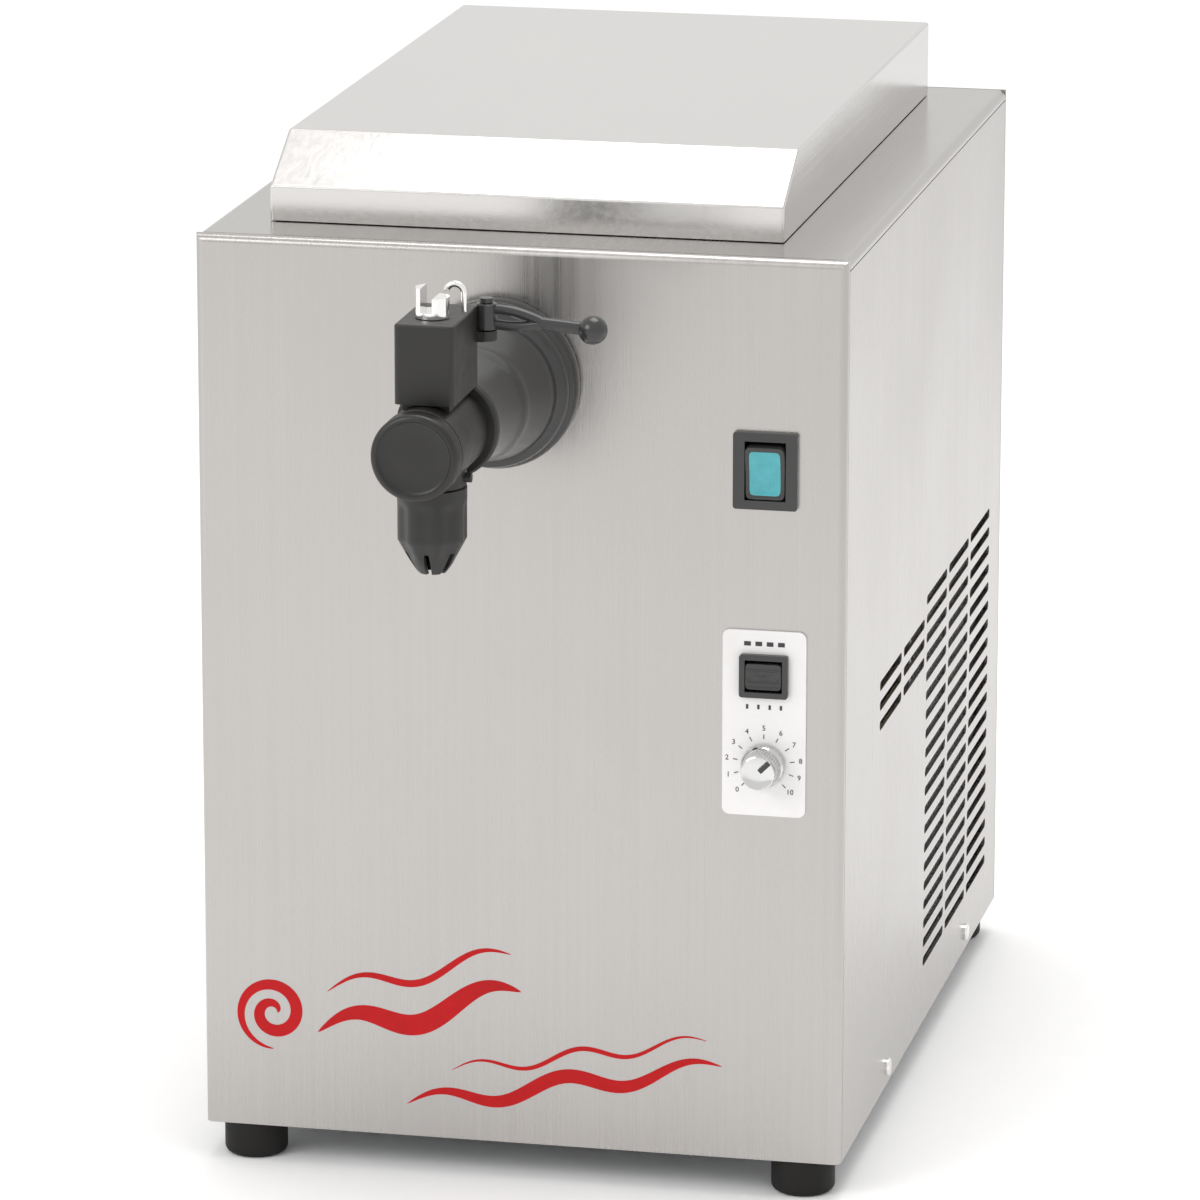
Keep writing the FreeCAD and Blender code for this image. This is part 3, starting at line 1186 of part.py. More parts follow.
def nozzle_cutters(z0):
    """Flutes down the sides and radial slots through the tip."""
    cuts = []
    for i in range(NOZZLE_FLUTES):
        a = math.radians((i + 0.5) * 360.0 / NOZZLE_FLUTES)
        cuts.append(upright(TAP_X + NOZZLE_R * math.cos(a), NOZZLE_Y + NOZZLE_R * math.sin(a),
                            z0 - 1, NOZZLE_TOP - NOZZLE_FLUTE_STOP, NOZZLE_FLUTE_R))
    for i in range(NOZZLE_SLOTS):
        half = NOZZLE_SLOT_W / 2
        slot = box(-half, half, 2.0, NOZZLE_R + 1, z0 - 1, z0 + NOZZLE_SLOT_H)
        slot.rotate(V(0, 0, 0), V(0, 0, 1), (i + 0.5) * 360.0 / NOZZLE_SLOTS)
        slot.translate(V(TAP_X, NOZZLE_Y, 0))
        cuts.append(slot)
    return cuts


def star_nozzle():
    """The piping nozzle: a fluted sleeve that tapers to a slotted star tip, hollow throughout."""
    z0 = NOZZLE_TOP - NOZZLE_H
    profile = [(0, NOZZLE_TIP_R), (NOZZLE_TAPER_H, NOZZLE_R), (NOZZLE_H, NOZZLE_R), (NOZZLE_H, NOZZLE_BORE_R),
               (NOZZLE_TAPER_H, NOZZLE_BORE_R), (0, NOZZLE_TIP_R - NOZZLE_WALL)]
    return lathe(profile, V(TAP_X, NOZZLE_Y, z0), V(0, 0, 1)).cut(group(nozzle_cutters(z0)))


PARTS = [
    base_tray, feet, foot_bolts, front_panel, side_panel_left, side_panel_right, rear_panel, top_plate,
    panel_screws, lid, lid_gasket, well_liner, well_foam, evaporator_coil, cream_tank, main_switch_bezel,
    main_rocker, mode_switch_bezel, mode_rocker, control_plate, dial_knob, dial_pointer, dial_shaft,
    dial_regulator, tap_collar, tap_body, tap_cap, tap_block, micro_switch, regulator_spindle, retaining_clip,
    lever_pin, lever, star_nozzle,
] + PARTS_INSIDE


def main():
    os.makedirs("parts", exist_ok=True)
    for make in PARTS:
        shape = make()
        if not shape.isValid():
            raise ValueError(make.__name__ + " is not a valid solid")
        shape.exportStep(os.path.join("parts", make.__name__ + ".step"))
        print(make.__name__, len(shape.Solids), round(shape.Volume, 1))


main()
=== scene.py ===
import math

import bpy
import numpy as np
from bpy.props import FloatProperty, FloatVectorProperty, PointerProperty
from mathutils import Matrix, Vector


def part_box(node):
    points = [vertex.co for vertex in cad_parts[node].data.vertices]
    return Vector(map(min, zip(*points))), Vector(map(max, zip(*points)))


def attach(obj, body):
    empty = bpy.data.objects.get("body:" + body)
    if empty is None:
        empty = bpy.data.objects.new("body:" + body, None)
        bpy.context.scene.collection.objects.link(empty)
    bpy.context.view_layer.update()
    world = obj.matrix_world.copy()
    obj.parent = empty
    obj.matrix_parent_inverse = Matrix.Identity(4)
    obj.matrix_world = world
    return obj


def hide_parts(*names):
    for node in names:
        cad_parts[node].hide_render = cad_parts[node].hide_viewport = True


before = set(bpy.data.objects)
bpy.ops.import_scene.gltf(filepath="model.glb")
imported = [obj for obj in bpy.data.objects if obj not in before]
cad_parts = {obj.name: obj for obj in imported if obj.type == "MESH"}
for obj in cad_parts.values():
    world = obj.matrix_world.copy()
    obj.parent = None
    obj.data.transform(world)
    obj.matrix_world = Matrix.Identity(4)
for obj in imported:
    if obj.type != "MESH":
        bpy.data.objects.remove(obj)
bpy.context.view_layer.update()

bl_info = {
    "name": "Cream machine looks",
    "version": (1, 0, 0),
    "blender": (4, 5, 0),
    "location": "3D View > Sidebar > Cream machine",
    "description": "Builds the visible pieces, finishes and studio of a counter-top cream machine",
    "category": "Object",
}



# ---- places read from the frame ----
def middle(node):
    """The centre of a node's box."""
    lo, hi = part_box(node)
    return np.array([(lo[i] + hi[i]) / 2 for i in range(3)])


def low(node):
    return np.array(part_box(node)[0])


def high(node):
    return np.array(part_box(node)[1])


FRONT_Y = float(low("front_panel")[1])
TAP = middle("tap_cap")
TAP_X, TAP_Z = float(TAP[0]), float(TAP[2])
NOZZLE = middle("star_nozzle")
DIAL = middle("dial_knob")
PLATE_FACE = float(low("control_plate")[1])


# ---- settings that a user would change ----
class StudioSettings(bpy.types.PropertyGroup):
    lens: FloatProperty(name="Lens", description="Focal length of the long camera lens",
                        default=218.04, min=20, unit="CAMERA")
    sky: FloatProperty(name="Sky strength", description="Strength of the soft surrounding light",
                       default=0.95, min=0)
    key: FloatProperty(name="Key power", description="Power of the large front left light",
                       default=30.0, min=0, unit="POWER")
    rim: FloatProperty(name="Top power", description="Power of the overhead light",
                       default=26.0, min=0, unit="POWER")
    floor_tone: FloatVectorProperty(name="Floor", description="Colour of the floor",
                                    default=(0.95, 0.95, 0.95), subtype="COLOR", size=3)


class FinishSettings(bpy.types.PropertyGroup):
    steel: FloatVectorProperty(name="Steel", description="Colour of the brushed cabinet steel",
                               default=(0.455, 0.438, 0.425), subtype="COLOR", size=3)
    bright_steel: FloatVectorProperty(name="Bright steel", description="Colour of the lid and tank steel",
                                      default=(0.640, 0.625, 0.613), subtype="COLOR", size=3)
    plastic: FloatVectorProperty(name="Black plastic", description="Colour of the moulded tap",
                                 default=(0.010, 0.0090, 0.0084), subtype="COLOR", size=3)
    lens_colour: FloatVectorProperty(name="Lens", description="Colour of the lit rocker window",
                                     default=(0.035, 0.30, 0.34), subtype="COLOR", size=3)
    lens_glow: FloatProperty(name="Lens glow", description="Strength of the rocker lamp", default=0.22, min=0)
    print_red: FloatVectorProperty(name="Red print", description="Colour of the front decoration",
                                   default=(0.42, 0.004, 0.006), subtype="COLOR", size=3)


class PieceSettings(bpy.types.PropertyGroup):
    bell_rings: FloatProperty(name="Ring depth", description="How far the bell's moulded rings stand out",
                              default=0.0006, unit="LENGTH")
    facet_depth: FloatProperty(name="Facet depth", description="How far the nozzle's facet edges stand out",
                               default=0.0008, unit="LENGTH")
    print_lift: FloatProperty(name="Print thickness",
                              description="How far printed marks stand off their face",
                              default=0.00012, unit="LENGTH")
    knurl: FloatProperty(name="Knurl depth", description="Depth of the dial knob's grip ribs", default=0.0003,
                         unit="LENGTH")


def studio():
    return bpy.context.scene.cream_studio


def finish_settings():
    return bpy.context.scene.cream_finish


def piece_settings():
    return bpy.context.scene.cream_pieces


# ---- mesh helpers: whole-array surfaces ----
def grid_faces(rows, columns, wrap_u, wrap_v, offset=0):
    """Quads of a rows by columns grid of points, joined end to end where it wraps."""
    u = np.arange(rows if wrap_u else rows - 1)
    v = np.arange(columns if wrap_v else columns - 1)
    uu, vv = np.meshgrid(u, v, indexing="ij")
    u1, v1 = (uu + 1) % rows, (vv + 1) % columns
    quads = np.stack([uu * columns + vv, u1 * columns + vv, u1 * columns + v1, uu * columns + v1], axis=-1)
    return quads.reshape(-1, 4) + offset


def mesh_object(name, points, faces, smooth=True, merge=True):
    """A linked object at the origin from point and face arrays, doubles merged, faces turned outwards."""
    mesh = bpy.data.meshes.new(name)
    mesh.from_pydata(np.asarray(points).reshape(-1, 3).tolist(), [], [list(map(int, f)) for f in faces])
    mesh.validate()
    piece = bpy.data.objects.new(name, mesh)
    bpy.context.scene.collection.objects.link(piece)
    if merge:
        import bmesh
        work = bmesh.new()
        work.from_mesh(mesh)
        bmesh.ops.remove_doubles(work, verts=work.verts, dist=1e-6)
        bmesh.ops.dissolve_degenerate(work, edges=work.edges, dist=1e-7)
        bmesh.ops.recalc_face_normals(work, faces=work.faces)
        work.to_mesh(mesh)
        work.free()
    mesh.polygons.foreach_set("use_smooth", np.full(len(mesh.polygons), smooth))
    return piece


def sharpen(piece, degrees=32.0):
    """Shade by angle, baked on the edges, so that creases stay crisp."""
    mesh = piece.data
    mesh.set_sharp_from_angle(angle=math.radians(degrees))
    return piece


def lathe_points(profile, centre, axis, segments, ripple=None):
    """Turn (distance, radius) pairs about an axis: point = centre + axis*a + r*(cos t*side + sin t*other).
    ripple(a, t) is added to the radius."""
    axis = np.asarray(axis, float)
    side = np.cross(axis, [0.0, 0.0, 1.0]) if abs(axis[2]) < 0.5 else np.array([1.0, 0.0, 0.0])
    side = side / np.linalg.norm(side)
    other = np.cross(axis, side)
    t = np.linspace(0, 2 * np.pi, segments, endpoint=False)
    a = np.asarray([p[0] for p in profile], float)[:, None]
    r = np.asarray([p[1] for p in profile], float)[:, None] + 0 * t
    if ripple is not None:
        r = np.where(r > 1e-5, r + ripple(a, t), r)
    ring = np.cos(t)[None, :, None] * side + np.sin(t)[None, :, None] * other
    return np.asarray(centre) + a[..., None] * axis + r[..., None] * ring


def arc_profile(points, radius_steps=5):
    """Soften an outline: each inner corner becomes a short quadratic curve between points near it."""
    out = [points[0]]
    for before, corner, after in zip(points, points[1:], points[2:]):
        b, c, a = (np.array(q[:2], float) for q in (before, corner, after))
        bend = corner[2] if len(corner) > 2 else 0.0
        if bend == 0.0:
            out.append(tuple(c))
            continue
        start = c + (b - c) / np.linalg.norm(b - c) * bend
        end = c + (a - c) / np.linalg.norm(a - c) * bend
        s = np.linspace(0, 1, radius_steps)[:, None]
        curve = (1 - s) ** 2 * start + 2 * s * (1 - s) * c + s ** 2 * end
        out.extend(map(tuple, curve))
    out.append(points[-1])
    return [(q[0], q[1]) for q in out]


def lathe(name, profile, centre, axis, segments=96, ripple=None):
    points = lathe_points(arc_profile(profile), centre, axis, segments, ripple)
    return sharpen(mesh_object(name, points, grid_faces(points.shape[0], segments, False, True)))


def sweep_points(path, radius, segments=20, closed=False):
    """A tube round a path: point = path + radius*(cos t*normal + sin t*binormal), with the normal carried
    along by projecting it off each new tangent."""
    path = np.asarray(path, float)
    ahead = np.roll(path, -1, 0) - np.roll(path, 1, 0)
    if not closed:
        ahead[0], ahead[-1] = path[1] - path[0], path[-1] - path[-2]
    tangent = ahead / np.linalg.norm(ahead, axis=1)[:, None]
    normal = np.cross(tangent[0], [0.31, 0.82, 0.47])
    normals = []
    for step in tangent:
        normal = normal - step * normal.dot(step)
        normal = normal / np.linalg.norm(normal)
        normals.append(normal)
    normals = np.array(normals)
    binormal = np.cross(tangent, normals)
    t = np.linspace(0, 2 * np.pi, segments, endpoint=False)
    r = np.broadcast_to(np.asarray(radius, float), (len(path),))[:, None, None]
    return path[:, None, :] + r * (np.cos(t)[None, :, None] * normals[:, None] +
                                   np.sin(t)[None, :, None] * binormal[:, None])


def tube(path, radius, segments=20, closed=False):
    """Tube points and faces, its open ends gathered to a point."""
    points = sweep_points(path, radius, segments, closed)
    if not closed:
        first = np.repeat(np.asarray(path[0], float)[None, None], segments, 1)
        last = np.repeat(np.asarray(path[-1], float)[None, None], segments, 1)
        points = np.concatenate([first, points, last], 0)
    return points, grid_faces(points.shape[0], segments, closed, True)


def merged(name, parts, smooth=True):
    """One object from several (points, faces) pairs."""
    points, faces, offset = [], [], 0
    for p, f in parts:
        p = p.reshape(-1, 3)
        points.append(p)
        faces.extend((f + offset).tolist())
        offset += len(p)
    return mesh_object(name, np.concatenate(points), faces, smooth)


def finish_piece(piece, body, material, nodes=()):
    """Give a piece its finish, its body and the nodes it stands for."""
    piece.data.materials.clear()
    piece.data.materials.append(material)
    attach(piece, body)
    if nodes:
        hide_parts(*nodes)
    return piece


# ---- shared shader groups ----
def new_group(name, inputs, outputs):
    """A node group with float inputs (name, default) and typed outputs (name, type)."""
    tree = bpy.data.node_groups.new(name, "ShaderNodeTree")
    for label, kind, default in inputs:
        socket = tree.interface.new_socket(label, in_out="INPUT", socket_type=kind)
        socket.default_value = default
    for label, kind in outputs:
        tree.interface.new_socket(label, in_out="OUTPUT", socket_type=kind)
    return tree, tree.nodes.new("NodeGroupInput"), tree.nodes.new("NodeGroupOutput")


def noise(tree, vector, scale, detail=3.0, rough=0.5):
    node = tree.nodes.new("ShaderNodeTexNoise")
    node.inputs["Scale"].default_value = scale
    node.inputs["Detail"].default_value = detail
    node.inputs["Roughness"].default_value = rough
    tree.links.new(vector, node.inputs["Vector"])
    return node


def math_node(tree, kind, a, b=0.0, c=0.0):
    node = tree.nodes.new("ShaderNodeMath")
    node.operation = kind
    for socket, value in zip(node.inputs, (a, b, c)):
        if isinstance(value, (int, float)):
            socket.default_value = value
        else:
            tree.links.new(value, socket)
    return node.outputs[0]


def spread(tree, value, low_out, high_out, low_in=0.3, high_in=0.7):
    node = tree.nodes.new("ShaderNodeMapRange")
    for label, v in (("From Min", low_in), ("From Max", high_in)):
        node.inputs[label].default_value = v
    for label, v in (("To Min", low_out), ("To Max", high_out)):
        if isinstance(v, (int, float)):
            node.inputs[label].default_value = v
        else:
            tree.links.new(v, node.inputs[label])
    tree.links.new(value, node.inputs["Value"])
    return node.outputs["Result"]


def tinted(tree, colour, factor):
    """Colour times a factor."""
    node = tree.nodes.new("ShaderNodeVectorMath")
    node.operation = "SCALE"
    tree.links.new(colour, node.inputs[0])
    tree.links.new(factor, node.inputs["Scale"])
    return node.outputs[0]


def brushed_group():
    """Fine parallel brush lines along one axis, with long cloudy tone changes and faint handling smears."""
    found = bpy.data.node_groups.get("brushed_grain")
    if found:
        return found
    tree, start, end = new_group("brushed_grain", [
        ("Colour", "NodeSocketColor", (0.7, 0.7, 0.7, 1)), ("Stretch", "NodeSocketVector", (1, 1, 1)),
        ("Depth", "NodeSocketFloat", 0.08), ("Roughness", "NodeSocketFloat", 0.3)],
        [("Colour", "NodeSocketColor"), ("Roughness", "NodeSocketFloat"), ("Height", "NodeSocketFloat")])
    where = tree.nodes.new("ShaderNodeTexCoord")
    stretched = tree.nodes.new("ShaderNodeVectorMath")
    stretched.operation = "MULTIPLY"
    tree.links.new(where.outputs["Object"], stretched.inputs[0])
    tree.links.new(start.outputs["Stretch"], stretched.inputs[1])
    lines = noise(tree, stretched.outputs[0], 1.0, 4.0, 0.65)
    long_lines = noise(tree, stretched.outputs[0], 0.16, 3.0, 0.6)
    smear = noise(tree, where.outputs["Object"], 9.0, 3.0, 0.55)
    grain = math_node(tree, "ADD", lines.outputs["Fac"], long_lines.outputs["Fac"])
    grain = math_node(tree, "MULTIPLY", grain, 0.5)
    tone = spread(tree, grain, 0.95, 1.03, 0.32, 0.68)
    cloud = spread(tree, smear.outputs["Fac"], 0.965, 1.025)
    tree.links.new(tinted(tree, start.outputs["Colour"], math_node(tree, "MULTIPLY", tone, cloud)),
                   end.inputs["Colour"])
    vary = spread(tree, smear.outputs["Fac"], -0.035, 0.045)
    fine = spread(tree, grain, -0.05, 0.05)
    rough = math_node(tree, "ADD", math_node(tree, "ADD", start.outputs["Roughness"], vary), fine)
    tree.links.new(rough, end.inputs["Roughness"])
    tree.links.new(math_node(tree, "MULTIPLY", grain, start.outputs["Depth"]), end.inputs["Height"])
    return tree


def moulded_group():
    """A moulded surface: fine pebble, soft flow marks and a little dust in the tone."""
    found = bpy.data.node_groups.get("moulded_skin")
    if found:
        return found
    tree, start, end = new_group("moulded_skin", [
        ("Colour", "NodeSocketColor", (0.02, 0.02, 0.02, 1)), ("Pebble", "NodeSocketFloat", 900.0),
        ("Depth", "NodeSocketFloat", 0.1), ("Roughness", "NodeSocketFloat", 0.4),
        ("Variation", "NodeSocketFloat", 0.15)],
        [("Colour", "NodeSocketColor"), ("Roughness", "NodeSocketFloat"), ("Height", "NodeSocketFloat")])
    where = tree.nodes.new("ShaderNodeTexCoord")
    pebble = tree.nodes.new("ShaderNodeTexNoise")
    pebble.inputs["Detail"].default_value = 2.0
    tree.links.new(where.outputs["Object"], pebble.inputs["Vector"])
    tree.links.new(start.outputs["Pebble"], pebble.inputs["Scale"])
    flow = noise(tree, where.outputs["Object"], 38.0, 4.0, 0.6)
    dust = noise(tree, where.outputs["Object"], 220.0, 3.0, 0.7)
    mixed = math_node(tree, "ADD", flow.outputs["Fac"], math_node(tree, "MULTIPLY", dust.outputs["Fac"], 0.5))
    swing = math_node(tree, "MULTIPLY", spread(tree, mixed, -1.0, 1.0, 0.5, 1.0), start.outputs["Variation"])
    tint = math_node(tree, "ADD", swing, 1.0)
    tree.links.new(tinted(tree, start.outputs["Colour"], tint), end.inputs["Colour"])
    rough = math_node(tree, "ADD", start.outputs["Roughness"], math_node(tree, "MULTIPLY", swing, 0.35))
    tree.links.new(rough, end.inputs["Roughness"])
    height = math_node(tree, "MULTIPLY", pebble.outputs["Fac"], start.outputs["Depth"])
    tree.links.new(height, end.inputs["Height"])
    return tree


def material_with(name, tree_group, colour, values, bump_distance, metallic=0.0, coat=0.0, coat_rough=0.1,
                  emission=None, glow=0.0, specular=0.5):
    """A material whose colour, roughness and bump come from one group; the shader's own sockets hold
    the rest."""
    found = bpy.data.materials.get(name)
    if found:
        return found
    material = bpy.data.materials.new(name)
    material.use_nodes = True
    tree = material.node_tree
    shader = tree.nodes["Principled BSDF"]
    shader.inputs["Metallic"].default_value = metallic
    shader.inputs["Coat Weight"].default_value = coat
    shader.inputs["Coat Roughness"].default_value = coat_rough
    shader.inputs["Specular IOR Level"].default_value = specular
    skin = tree.nodes.new("ShaderNodeGroup")
    skin.node_tree = tree_group
    skin.inputs["Colour"].default_value = (*colour, 1)
    for label, value in values.items():
        skin.inputs[label].default_value = value
    tree.links.new(skin.outputs["Colour"], shader.inputs["Base Color"])
    tree.links.new(skin.outputs["Roughness"], shader.inputs["Roughness"])
    bump = tree.nodes.new("ShaderNodeBump")
    bump.inputs["Distance"].default_value = bump_distance
    bump.inputs["Strength"].default_value = 1.0
    tree.links.new(skin.outputs["Height"], bump.inputs["Height"])
    tree.links.new(bump.outputs["Normal"], shader.inputs["Normal"])
    if emission is not None:
        shader.inputs["Emission Color"].default_value = (*emission, 1)
        shader.inputs["Emission Strength"].default_value = glow
    return material


GRAIN_ACROSS = 2600.0
GRAIN_ALONG = 14.0
GRAIN = {"z": (GRAIN_ACROSS, GRAIN_ACROSS, GRAIN_ALONG), "y": (GRAIN_ACROSS, GRAIN_ALONG, GRAIN_ACROSS),
         "x": (GRAIN_ALONG, GRAIN_ACROSS, GRAIN_ACROSS)}


def brushed(name, colour, grain, rough, depth=0.16):
    values = {"Stretch": GRAIN[grain], "Depth": depth, "Roughness": rough}
    return material_with(name, brushed_group(), colour, values, 0.00012, metallic=1.0)


def moulded(name, colour, rough, pebble=1400.0, depth=0.5, variation=0.15, **more):
    values = {"Pebble": pebble, "Depth": depth, "Roughness": rough, "Variation": variation}
    return material_with(name, moulded_group(), colour, values, 0.00006, **more)


def cabinet_steel():
    return brushed("cabinet_steel", finish_settings().steel, "z", 0.27)


def top_steel():
    return brushed("top_steel", finish_settings().steel, "y", 0.22)


def tank_steel():
    return brushed("tank_steel", finish_settings().bright_steel, "z", 0.24)


def lid_steel():
    return brushed("lid_steel", finish_settings().bright_steel, "y", 0.20, 0.3)


def black_satin():
    return moulded("black_satin", finish_settings().plastic, 0.42, 1100.0, 0.8, 0.25, coat=0.0)


def black_gloss():
    return moulded("black_gloss", [c * 0.3 for c in finish_settings().plastic], 0.17, 260.0, 0.25, 0.2,
                   specular=0.2)


def rubber():
    return moulded("foot_rubber", (0.010, 0.009, 0.0085), 0.62, 1500.0, 1.2, 0.3, specular=0.25)


def polished():
    return brushed("polished_steel", (0.86, 0.85, 0.84), "z", 0.10, 0.08)


def chrome():
    return moulded("knob_chrome", (0.62, 0.62, 0.62), 0.12, 300.0, 0.05, 0.06, metallic=1.0)


def white_print_plate():
    return moulded("scale_plate", (0.76, 0.745, 0.745), 0.33, 900.0, 0.2, 0.03, coat=0.3, coat_rough=0.15)


def dark_ink():
    return moulded("scale_ink", (0.03, 0.03, 0.035), 0.5, 1800.0, 0.2, 0.3)


def red_ink():
    return moulded("red_print", finish_settings().print_red, 0.40, 1200.0, 0.15, 0.10, specular=0.2)


def lamp_lens():
    s = finish_settings()
    return moulded("lamp_lens", s.lens_colour, 0.16, 500.0, 0.2, 0.25, coat=0.6, coat_rough=0.05,
                   emission=s.lens_colour, glow=s.lens_glow)


INNER_FINISHES = {
    "painted_tray": ((0.30, 0.31, 0.32), 0.45, 700.0, 0.5, 0.2, {}),
    "copper_pipe": ((0.72, 0.36, 0.22), 0.28, 500.0, 0.2, 0.25, {"metallic": 1.0}),
    "fin_aluminium": ((0.72, 0.73, 0.74), 0.33, 900.0, 0.4, 0.18, {"metallic": 1.0}),
    "pump_white": ((0.82, 0.82, 0.79), 0.36, 900.0, 0.4, 0.05, {}),
    "foam_yellow": ((0.80, 0.70, 0.42), 0.85, 500.0, 2.0, 0.2, {}),
    "enamel_black": ((0.02, 0.02, 0.022), 0.25, 350.0, 0.6, 0.2, {"coat": 0.3}),
    "board_green": ((0.02, 0.16, 0.07), 0.35, 1200.0, 0.5, 0.4, {}),
}


def inner(name):
    colour, rough, pebble, depth, variation, more = INNER_FINISHES[name]
    return moulded(name, colour, rough, pebble, depth, variation, **more)


def node_finishes():
    """The finish of every piece that keeps its designed shape."""
    return {
        cabinet_steel(): ["front_panel", "side_panel_left", "side_panel_right", "rear_panel"],
        top_steel(): ["top_plate"],
        tank_steel(): ["well_liner", "cream_tank"],
        lid_steel(): ["lid"],
        polished(): ["regulator_spindle", "foot_bolts", "dial_shaft", "drive_shaft", "pump_studs",
                     "whipping_tube", "delivery_elbow", "suction_tube", "panel_screws", "retaining_clip"],
        black_satin(): ["tap_body", "tap_block", "tap_cap", "star_nozzle", "dial_regulator", "air_valve_knob",
                        "fan_shroud", "fan_blades", "mains_inlet", "micro_switch"],
        black_gloss(): ["tap_collar", "lever", "lever_pin", "main_switch_bezel", "mode_switch_bezel",
                        "mode_rocker", "dial_pointer"],
        rubber(): ["feet", "lid_gasket", "shaft_seal", "compressor_grommets"],
        chrome(): ["dial_knob"],
        white_print_plate(): ["control_plate"],
        lamp_lens(): ["main_rocker"],
        inner("painted_tray"): ["base_tray", "motor_bracket", "transformer"],
        inner("copper_pipe"): ["evaporator_coil", "filter_drier", "refrigerant_lines"],
        inner("fin_aluminium"): ["condenser"],
        inner("pump_white"): ["pump_housing", "pump_cover", "drive_gear", "idler_gear", "mixing_insert",
                              "air_valve"],
        inner("foam_yellow"): ["well_foam"],
        inner("enamel_black"): ["compressor", "drive_motor", "fan_motor"],
        inner("board_green"): ["control_board"],
    }


class CREAM_OT_node_finishes(bpy.types.Operator):
    """Give every designed part its finish"""
    bl_idname = "cream.node_finishes"
    bl_label = "Part finishes"

    def execute(self, context):
        left = set(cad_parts)
        for material, nodes in node_finishes().items():
            for node in nodes:
                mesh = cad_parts[node].data
                mesh.materials.clear()
                mesh.materials.append(material)
                left.discard(node)
        if left:
            raise RuntimeError("parts without a finish: " + ", ".join(sorted(left)))
        return {"FINISHED"}


# ---- studio ----
CAMERA_PLACE = (0.60593, -2.76339, 0.92733)
CAMERA_TURN = (75.6689, -0.0478, 12.2709)
FLOOR_SIZE = 14.0


def add_area(name, place, aim, width, depth, power, tone=(1, 1, 1)):
    from mathutils import Vector
    light = bpy.data.lights.new(name, "AREA")
    light.shape = "RECTANGLE"
    light.size, light.size_y = width, depth
    light.energy = power
    light.color = tone
    lamp = bpy.data.objects.new(name, light)
    bpy.context.scene.collection.objects.link(lamp)
    lamp.location = place
    lamp.rotation_euler = (Vector(aim) - Vector(place)).to_track_quat("-Z", "Y").to_euler()
    return lamp


class CREAM_OT_studio(bpy.types.Operator):
    """Make the camera, floor and lights"""
    bl_idname = "cream.studio"
    bl_label = "Studio"

    def execute(self, context):
        s = studio()
        scene = context.scene
        camera_data = bpy.data.cameras.new("camera")
        camera_data.lens = s.lens
        camera_data.sensor_width = 36.0
        camera_data.clip_end = 60.0
        camera = bpy.data.objects.new("camera", camera_data)
        scene.collection.objects.link(camera)
        camera.location = CAMERA_PLACE
        camera.rotation_euler = [math.radians(a) for a in CAMERA_TURN]
        scene.camera = camera
        scene.view_settings.view_transform = "Standard"
        world = bpy.data.worlds.new("soft_sky")
        scene.world = world
        world.use_nodes = True
        background = world.node_tree.nodes["Background"]
        background.inputs["Color"].default_value = (1.0, 0.995, 0.985, 1)
        background.inputs["Strength"].default_value = s.sky
        h = FLOOR_SIZE
        corners = [(-h, -h, 0), (h, -h, 0), (h, h, 0), (-h, h, 0)]
        floor = mesh_object("floor", corners, [(0, 1, 2, 3)], False, False)
        floor.data.materials.append(moulded("floor_paper", s.floor_tone, 0.7, 60.0, 0.1, 0.01))
        add_area("key", (-1.7, -2.2, 1.9), (0, 0, 0.2), 1.6, 1.4, s.key)
        add_area("top", (0.2, 0.3, 2.4), (0, 0, 0.3), 1.4, 1.4, s.rim)
        return {"FINISHED"}


# ---- tap ----
NECK_START = 0.0225
NECK_MAX_R = 0.0178
BELL_BORE_R = 0.0128


def tap_bell():
    """The bell collar: a stepped base ring and ridge, then a neck whose radius falls as (1 - s) to the
    power 1.6, with one raised ring part way along."""
    lo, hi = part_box("tap_collar")
    reach = float(hi[1] - lo[1])
    r = float(hi[0] - lo[0]) / 2
    ring = piece_settings().bell_rings
    neck_r = min(float(high("tap_body")[0] - TAP_X), NECK_MAX_R)
    s = np.linspace(0, 1, 22)
    neck_a = NECK_START + (reach - 0.0045 - NECK_START) * s
    neck_radius = neck_r + (r - 0.0062 - neck_r) * (1 - s) ** 1.6
    neck_radius = neck_radius + ring * np.exp(-((s - 0.42) / 0.035) ** 2)
    outline = [(0, BELL_BORE_R), (0, r - 0.0012), (0.0004, r - 0.0002), (0.0018, r), (0.0068, r),
               (0.0082, r - 0.0007), (0.0088, r - 0.0022), (0.0098, r - 0.0030), (0.0110, r - 0.0021),
               (0.0145, r - 0.0020), (0.0162, r - 0.0027), (0.0168, r - 0.0044), (0.0180, r - 0.0056),
               (0.0200, r - 0.0059)]
    outline += list(zip(neck_a, neck_radius))
    outline += [(reach - 0.0040, BELL_BORE_R), (0, BELL_BORE_R)]
    return lathe("tap_bell", outline, (TAP_X, FRONT_Y, TAP_Z), (0, -1, 0), 128)


def front_cap():
    """The turned cap: soft shoulder, sunk face with a slight dome, a fine grip groove behind the shoulder."""
    lo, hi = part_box("tap_cap")
    r = float(hi[0] - lo[0]) / 2
    face = r - 0.0027
    outline = [(0.00095, 0.0), (0.0010, face * 0.5), (0.0012, face - 0.0012), (0.0009, face - 0.0004),
               (0.0001, face + 0.0003), (0.0, face + 0.0007), (0.0002, r - 0.0012), (0.0008, r - 0.0004),
               (0.0018, r), (0.0074, r), (0.0078, r - 0.0006), (0.0084, r - 0.0006), (0.0088, r),
               (0.0116, r), (0.0120, r - 0.0004), (0.0120, 0.0050), (0.0155, 0.0050), (0.0155, 0.0)]
    return lathe("front_cap", outline, (TAP_X, float(lo[1]), TAP_Z), (0, 1, 0), 128)


FACETS = 8
TIP_SLOTS = 6
NOZZLE_TAPER = 0.0130
TIP_R = 0.0050
TIP_NOTCH = 0.0085
NOTCH_FADE = 0.0105
NOZZLE_WALL = 0.0022


